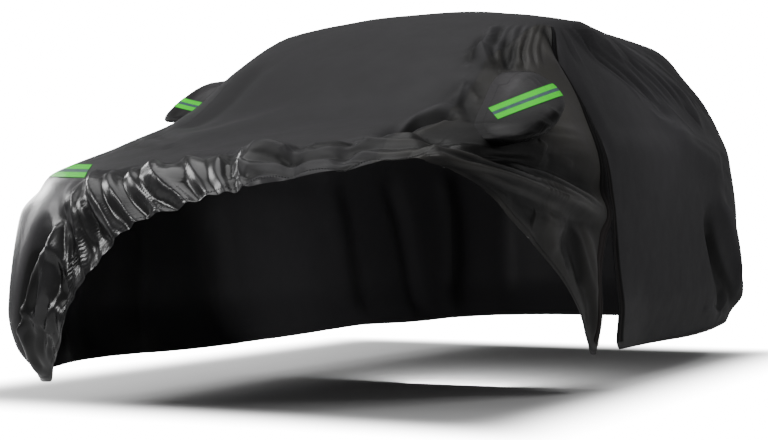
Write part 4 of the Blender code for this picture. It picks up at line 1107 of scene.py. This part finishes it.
seamLook = {"aside": 0.10, "beside": 0.15,  # how far from the seam, in cells of the coarse grid
            "stitch": {"Spacing": 0.009, "Length": 0.006, "Radius": 0.0006}}
aside = seamLook["aside"]
aboveRail, belowRail = coverForm["sideRows"] + seamLook["beside"], coverForm["sideRows"] - seamLook["beside"]
seamLines = []
for half in (rearSide, rightSide):
    seamLines += [seamLine(half, frontColumn - aside), seamLine(half, tailColumn + aside),
                  railLine(half, aboveRail, frontColumn, tailColumn), seamLine(half, tailColumn - aside)]
seamLines += [seamLine(flapSide, frontColumn + aside), seamLine(rightSide, frontColumn + aside),
              railLine(flapSide, belowRail, frontColumn, zipColumn),
              railLine(rearSide, belowRail, zipColumn, tailColumn),
              railLine(rightSide, belowRail, frontColumn, tailColumn)]
seamStitches = sewLines("seamStitches", seamLines, seamLook["stitch"], threadMaterial)
print("seams sewn:", len(seamStitches.data.polygons))


def pocketRing(points, k):
    # closed line round a pocket, k grid lines inside its seam
    columns, rows = points.shape[:2]
    line = ([points[i, k] for i in range(k, columns - k)] + [points[columns - 1 - k, j] for j in range(k, rows - k)]
            + [points[i, rows - 1 - k] for i in range(columns - 1 - k, k - 1, -1)]
            + [points[k, j] for j in range(rows - 1 - k, k - 1, -1)])
    middle = points.reshape(-1, 3).mean(axis=0)
    return [place + (place - middle) * 0.004 for place in line]


pocketStitches = sewLines("pocketStitches", [pocketRing(leftPoints, 1), pocketRing(rightPoints, 1)],
                          {"Spacing": 0.009, "Length": 0.006, "Radius": 0.0008}, threadMaterial)


# Zip: two tapes and their teeth
zipLook = {
    "tapeRows": (0.0, 5.0, 11.0, 15.0, 17.8), "tapeWidths": (0.075, 0.060, 0.038, 0.016, 0.006),
    "tapeThickness": 0.0012, "lift": 0.0012, "linesAcross": 9, "inset": 0.002, "hump": 0.0025,
    "lowRow": 0.35, "highRow": 17.8,
    "paleBelow": 4.5,  # up to this row the loose half turns its tape out of the groove's painted shade, which is paler
    "middleTone": -0.3,  # a paler line between the two bands painted dark as the groove's shade on the rear tape
    "tooth": {"Spacing": 0.0052, "Length": 0.0030, "Radius": 0.00375},
}
tapeCloth = clothMaterial("zipTapeWeave", {
    **clothLook,
    "dark": (0.009, 0.007, 0.0068, 1.0), "light": (0.013, 0.0105, 0.010, 1.0), "tint": (0.011, 0.0085, 0.008, 1.0),
    "thread": (0.018, 0.015, 0.015, 1.0), "threadShow": 0.3, "mottle": 0.4, "threads": 600.0,
    "paintedShade": 0.93, "shineDark": 0.0, "roughness": 0.70, "shineDrop": 0.0, "creaseShine": 0.0, "creaseBase": 0.0,
    "soft": 0.0, "weaveHeight": 0.0002, "specular": 0.1, "coat": 0.0,
})


def zipTape(name, half, direction):
    rows = gridRows[(gridRows >= zipLook["lowRow"]) & (gridRows <= zipLook["highRow"])]
    i = int(np.argmin(np.abs(gridColumns - zipColumn)))
    lines = []
    for share in np.linspace(0.0, 1.0, zipLook["linesAcross"]):
        line = []
        lift = zipLook["lift"] + zipLook["hump"] * abs(math.sin(share * 2.0 * math.pi))
        for row in rows:
            j = int(np.argmin(np.abs(gridRows - row)))
            step = np.linalg.norm(half["points"][i + direction, j] - half["points"][i, j])
            fine = (gridColumns[i + direction] - gridColumns[i]) / max(step, 1e-6)
            wide = np.interp(row, zipLook["tapeRows"], zipLook["tapeWidths"])
            column = zipColumn + fine * (zipLook["inset"] + share * wide)
            line.append(onCloth(half, np.array([column]), np.array([row]), lift)[0])
        lines.append(line)
    points = np.array(lines)
    # the tape is painted dark as the groove's shade
    shade = np.full(points.shape[:2], -1.0)
    if direction < 0:
        points = points[::-1]
        shade[:] = -smoothStep((rows - zipLook["paleBelow"]) / 2.0)
    else:
        shade[len(shade) // 2] = zipLook["middleTone"]
    piece = addPiece(name, wholeMesh(name, plainGrid(points, 1.0, shade)), tapeCloth)
    thicken(piece, zipLook["tapeThickness"])
    return piece, points[-1] if direction < 0 else points[0]


frontTape, frontEdge = zipTape("zipTapeFront", flapSide, -1)
rearTape, rearEdge = zipTape("zipTapeRear", rearSide, 1)
frontTeeth = sewLines("zipTeethFront", [frontEdge], zipLook["tooth"], toothMaterial)
rearTeeth = sewLines("zipTeethRear", [rearEdge], zipLook["tooth"], toothMaterial)
print("zip made")


# Reflective strips: the cloth's own surface under a straight band
stripLooks = {
    "leftPocketStrip": {"middle": (0.930, -1.060, 1.165), "facing": (0.48, -0.88, 0.0),
                        "along": (0.80, 0.44, 0.37), "length": 0.310, "width": 0.062},
    "rightPocketStrip": {"middle": (-0.900, -0.900, 1.260), "facing": (-0.48, -0.88, 0.1),
                         "along": (-0.80, 0.44, 0.20), "length": 0.180, "width": 0.045},
    "frontStrip": {"middle": (-0.616, -1.850, 0.914), "facing": (0.55, -0.84, -0.03),
                   "along": (0.84, 0.55, -0.04), "length": 0.186, "width": 0.052},
}
stripBuild = {
    "thickness": 0.0008, "lift": 0.0016,
    "grey": 0.24, "rim": 0.94,  # half width of the grey middle and start of the dark rim, as shares of half the width
    # emission strength of the painted glow on the green bands
    "glow": 0.22,
}


def stripMaterial():
    material, tree, shader, place = newMaterial("reflectiveStrip")
    across = tree.nodes.new("ShaderNodeSeparateXYZ")
    tree.links.new(attributeNode(tree, "strip").outputs["Vector"], across.inputs[0])
    cloudy = noiseNode(tree, place, 30.0, 3.0)
    beads = noiseNode(tree, place, 900.0, 1.0)
    away = mathNode(tree, "ABSOLUTE", across.outputs[1])
    centre = mathNode(tree, "LESS_THAN", away, stripBuild["grey"])
    rim = mathNode(tree, "GREATER_THAN", away, stripBuild["rim"])
    green = mixColours(tree, cloudy, (0.008, 0.34, 0.001, 1.0), (0.020, 0.52, 0.003, 1.0))
    silver = mixColours(tree, cloudy, (0.004, 0.030, 0.020, 1.0), (0.070, 0.110, 0.130, 1.0))
    colour = mixColours(tree, centre, green, silver)
    colour = mixColours(tree, rim, colour, (0.02, 0.10, 0.02, 1.0))
    tree.links.new(colour, shader.inputs["Base Color"])
    tree.links.new(plus(tree, times(tree, beads, 0.3), 0.22), shader.inputs["Roughness"])
    # painted glow: the green bands emit light, though the strip is no lamp
    glow = mixColours(tree, centre, (0.020, 0.55, 0.004, 1.0), (0.0, 0.0, 0.0, 1.0))
    tree.links.new(glow, shader.inputs["Emission Color"])
    shader.inputs["Emission Strength"].default_value = stripBuild["glow"]
    shader.inputs["Specular IOR Level"].default_value = 0.15
    addBump(tree, beads, 0.0004)
    return material


stripPaint = stripMaterial()


def stripPiece(name, source):
    # the part of the cloth under a straight band, lifted off it
    look = stripLooks[name]
    work = bmesh.new()
    work.from_mesh(source)
    middle = Vector(look["middle"]) - Vector((0.0, 0.0, coverForm["roofRest"]))
    facing = Vector(look["facing"]).normalized()
    along = Vector(look["along"])
    along = (along - along.dot(facing) * facing).normalized()
    across = facing.cross(along)
    for direction, half in ((along, look["length"] / 2.0), (across, look["width"] / 2.0)):
        for sense in (1.0, -1.0):
            everything = work.verts[:] + work.edges[:] + work.faces[:]
            bmesh.ops.bisect_plane(work, geom=everything, dist=0.00001, clear_outer=True,
                                   plane_co=middle + direction * half * sense, plane_no=direction * sense)
    work.normal_update()
    bmesh.ops.delete(work, geom=[face for face in work.faces if face.normal.dot(facing) < 0.10], context="FACES")
    bmesh.ops.remove_doubles(work, verts=work.verts, dist=0.0002)
    work.normal_update()
    places = []
    for vert in work.verts:
        away = vert.co - middle
        places.append((away.dot(along) / look["length"] * 2.0, away.dot(across) / look["width"] * 2.0, 0.0))
    for vert in work.verts:
        vert.co += vert.normal * stripBuild["lift"]
    mesh = bpy.data.meshes.new(name)
    work.to_mesh(mesh)
    work.free()
    layer = mesh.attributes.new("strip", "FLOAT_VECTOR", "POINT")
    layer.data.foreach_set("vector", np.array(places, np.float32).ravel())
    mesh.shade_smooth()
    piece = addPiece(name, mesh, stripPaint)
    thicken(piece, stripBuild["thickness"])
    return piece


stripSources = {
    "leftPocketStrip": wholeMesh("leftSource", plainGrid(leftPoints, 1.0)),
    "rightPocketStrip": wholeMesh("rightSource", plainGrid(rightPoints, -1.0)),
    "frontStrip": clothMesh("frontSource", [(rightSide, topCells | rightCells)]),
}
leftStrip, rightStrip, frontStrip = [stripPiece(*item) for item in stripSources.items()]
for source in stripSources.values():
    bpy.data.meshes.remove(source)
print("strips laid")


# Everything rides on the one body, and each piece stands for its solid
for piece, node, slotName in (
        (topCloth, "top_panel", "cloth"), (rightCloth, "right_side_panel", "cloth"),
        (flap, "left_front_panel", "cloth"), (rearPanel, "left_rear_panel", "cloth"),
        (leftBag, "mirror_pocket_left", "pocket_cloth"),
        (rightBag, "mirror_pocket_right", "pocket_cloth"), (frontTape, "zip_tape_front", "zip_tape"),
        (rearTape, "zip_tape_rear", "zip_tape"), (leftStrip, "strip_mirror_left", "reflective_strip"),
        (rightStrip, "strip_mirror_right", "reflective_strip"), (frontStrip, "strip_front_right", "reflective_strip")):
    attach(piece, "root")
    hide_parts(node)
for piece, slotName in ((hemStitches, "cloth"), (seamStitches, "cloth"), (pocketStitches, "pocket_cloth"),
                        (frontTeeth, "zip_tape"), (rearTeeth, "zip_tape")):
    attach(piece, "root")


# Floor, light and camera
studio = {
    "floorSize": 60.0,
    "floorColour": (0.50, 0.50, 0.50, 1.0),
    "worldColour": (0.93, 0.93, 0.94, 1.0),
    "worldStrength": 0.36,
    "backdropStrength": 20.0,
    "floorGlow": 40.0,
    # a painted shadow on the floor under the cover: middle, half sizes and fade
    "shadeMiddle": (-0.30, 0.25),
    "shadeHalf": (1.25, 1.75),
    "shadeFade": (-0.30, 0.60),
    "lights": (  # place, aim, size, power
        ((-0.5, -1.5, 6.5), (-0.2, -0.8, 0.0), 7.0, 480.0),
        ((-3.2, -7.5, 3.2), (-0.3, -1.6, -0.8), 1.5, 190.0),
        ((-6.0, -3.2, 2.4), (-0.8, -1.8, -0.9), 2.6, 300.0),
        ((6.0, -4.0, 4.6), (0.9, 0.6, -0.3), 2.0, 290.0),
        ((0.2, -0.3, -1.50), (0.1, 1.9, -0.5), 0.5, 30.0),
        ((-5.0, 0.8, 0.2), (-0.8, -1.8, -0.8), 1.8, 110.0),
    ),
    "camera": {"place": (3.14, -6.22, -0.9956), "turn": 28.8, "tilt": -0.5, "roll": -0.5, "lens": 71.0},
}


def addFloor():
    bpy.ops.mesh.primitive_plane_add(size=studio["floorSize"], location=(0.0, 0.0, -coverForm["roofRest"]))
    floor = bpy.context.object
    floor.name = "studioFloor"
    paint, tree, shader, place = newMaterial("floorPaint")
    shader.inputs["Base Color"].default_value = studio["floorColour"]
    shader.inputs["Roughness"].default_value = 0.9
    shader.inputs["Emission Color"].default_value = studio["floorColour"]
    apart = tree.nodes.new("ShaderNodeSeparateXYZ")
    tree.links.new(place, apart.inputs[0])
    past = []  # how far outside the shade, sideways and endways
    for way, middle, half in zip(apart.outputs, studio["shadeMiddle"], studio["shadeHalf"]):
        away = mathNode(tree, "ABSOLUTE", mathNode(tree, "SUBTRACT", way, middle))
        past.append(mathNode(tree, "SUBTRACT", away, half))
    fade = tree.nodes.new("ShaderNodeMapRange")  # painted shadow: the floor's glow fades softly under the cover
    fade.interpolation_type = "SMOOTHERSTEP"
    fade.inputs["From Min"].default_value, fade.inputs["From Max"].default_value = studio["shadeFade"]
    tree.links.new(mathNode(tree, "SMOOTH_MAX", *past, 0.3), fade.inputs["Value"])
    glow = times(tree, mathNode(tree, "POWER", fade.outputs["Result"], 2.0), studio["floorGlow"])
    seen = times(tree, tree.nodes.new("ShaderNodeLightPath").outputs["Is Camera Ray"], glow)
    tree.links.new(seen, shader.inputs["Emission Strength"])
    floor.data.materials.append(paint)


def addLights():
    world = bpy.data.worlds.new("studio")
    world.use_nodes = True
    nodes, links = world.node_tree.nodes, world.node_tree.links
    nodes["Background"].inputs[0].default_value = studio["worldColour"]
    nodes["Background"].inputs[1].default_value = studio["worldStrength"]
    backdrop = nodes.new("ShaderNodeBackground")  # what the camera sees behind the floor
    backdrop.inputs[0].default_value = studio["worldColour"]
    backdrop.inputs[1].default_value = studio["backdropStrength"]
    choose = nodes.new("ShaderNodeMixShader")
    links.new(nodes.new("ShaderNodeLightPath").outputs["Is Camera Ray"], choose.inputs[0])
    links.new(nodes["Background"].outputs[0], choose.inputs[1])
    links.new(backdrop.outputs[0], choose.inputs[2])
    links.new(choose.outputs[0], nodes["World Output"].inputs[0])
    bpy.context.scene.world = world
    for index, (place, aim, size, power) in enumerate(studio["lights"]):
        light = bpy.data.lights.new("softbox%d" % index, "AREA")
        light.shape = "SQUARE"
        light.size = size
        light.energy = power
        lamp = bpy.data.objects.new(light.name, light)
        lamp.location = place
        lamp.rotation_euler = (Vector(aim) - Vector(place)).to_track_quat("-Z", "Y").to_euler()
        bpy.context.scene.collection.objects.link(lamp)


def addCamera():
    look = studio["camera"]
    turn, tilt, roll = (math.radians(look[key]) for key in ("turn", "tilt", "roll"))
    back = Vector((math.sin(turn) * math.cos(tilt), -math.cos(turn) * math.cos(tilt), math.sin(tilt)))
    right = Vector((math.cos(turn), math.sin(turn), 0.0))
    up = back.cross(right)
    rolledRight = right * math.cos(roll) + up * math.sin(roll)
    rolledUp = up * math.cos(roll) - right * math.sin(roll)
    lens = bpy.data.cameras.new("photoCamera")
    lens.lens = look["lens"]
    lens.sensor_width = 36.0
    lens.clip_end = 200.0
    camera = bpy.data.objects.new("photoCamera", lens)
    bpy.context.scene.collection.objects.link(camera)
    matrix = Matrix((rolledRight, rolledUp, back)).transposed().to_4x4()
    matrix.translation = look["place"]
    camera.matrix_world = matrix
    bpy.context.scene.camera = camera


addFloor()
addLights()
addCamera()
print("studio ready")
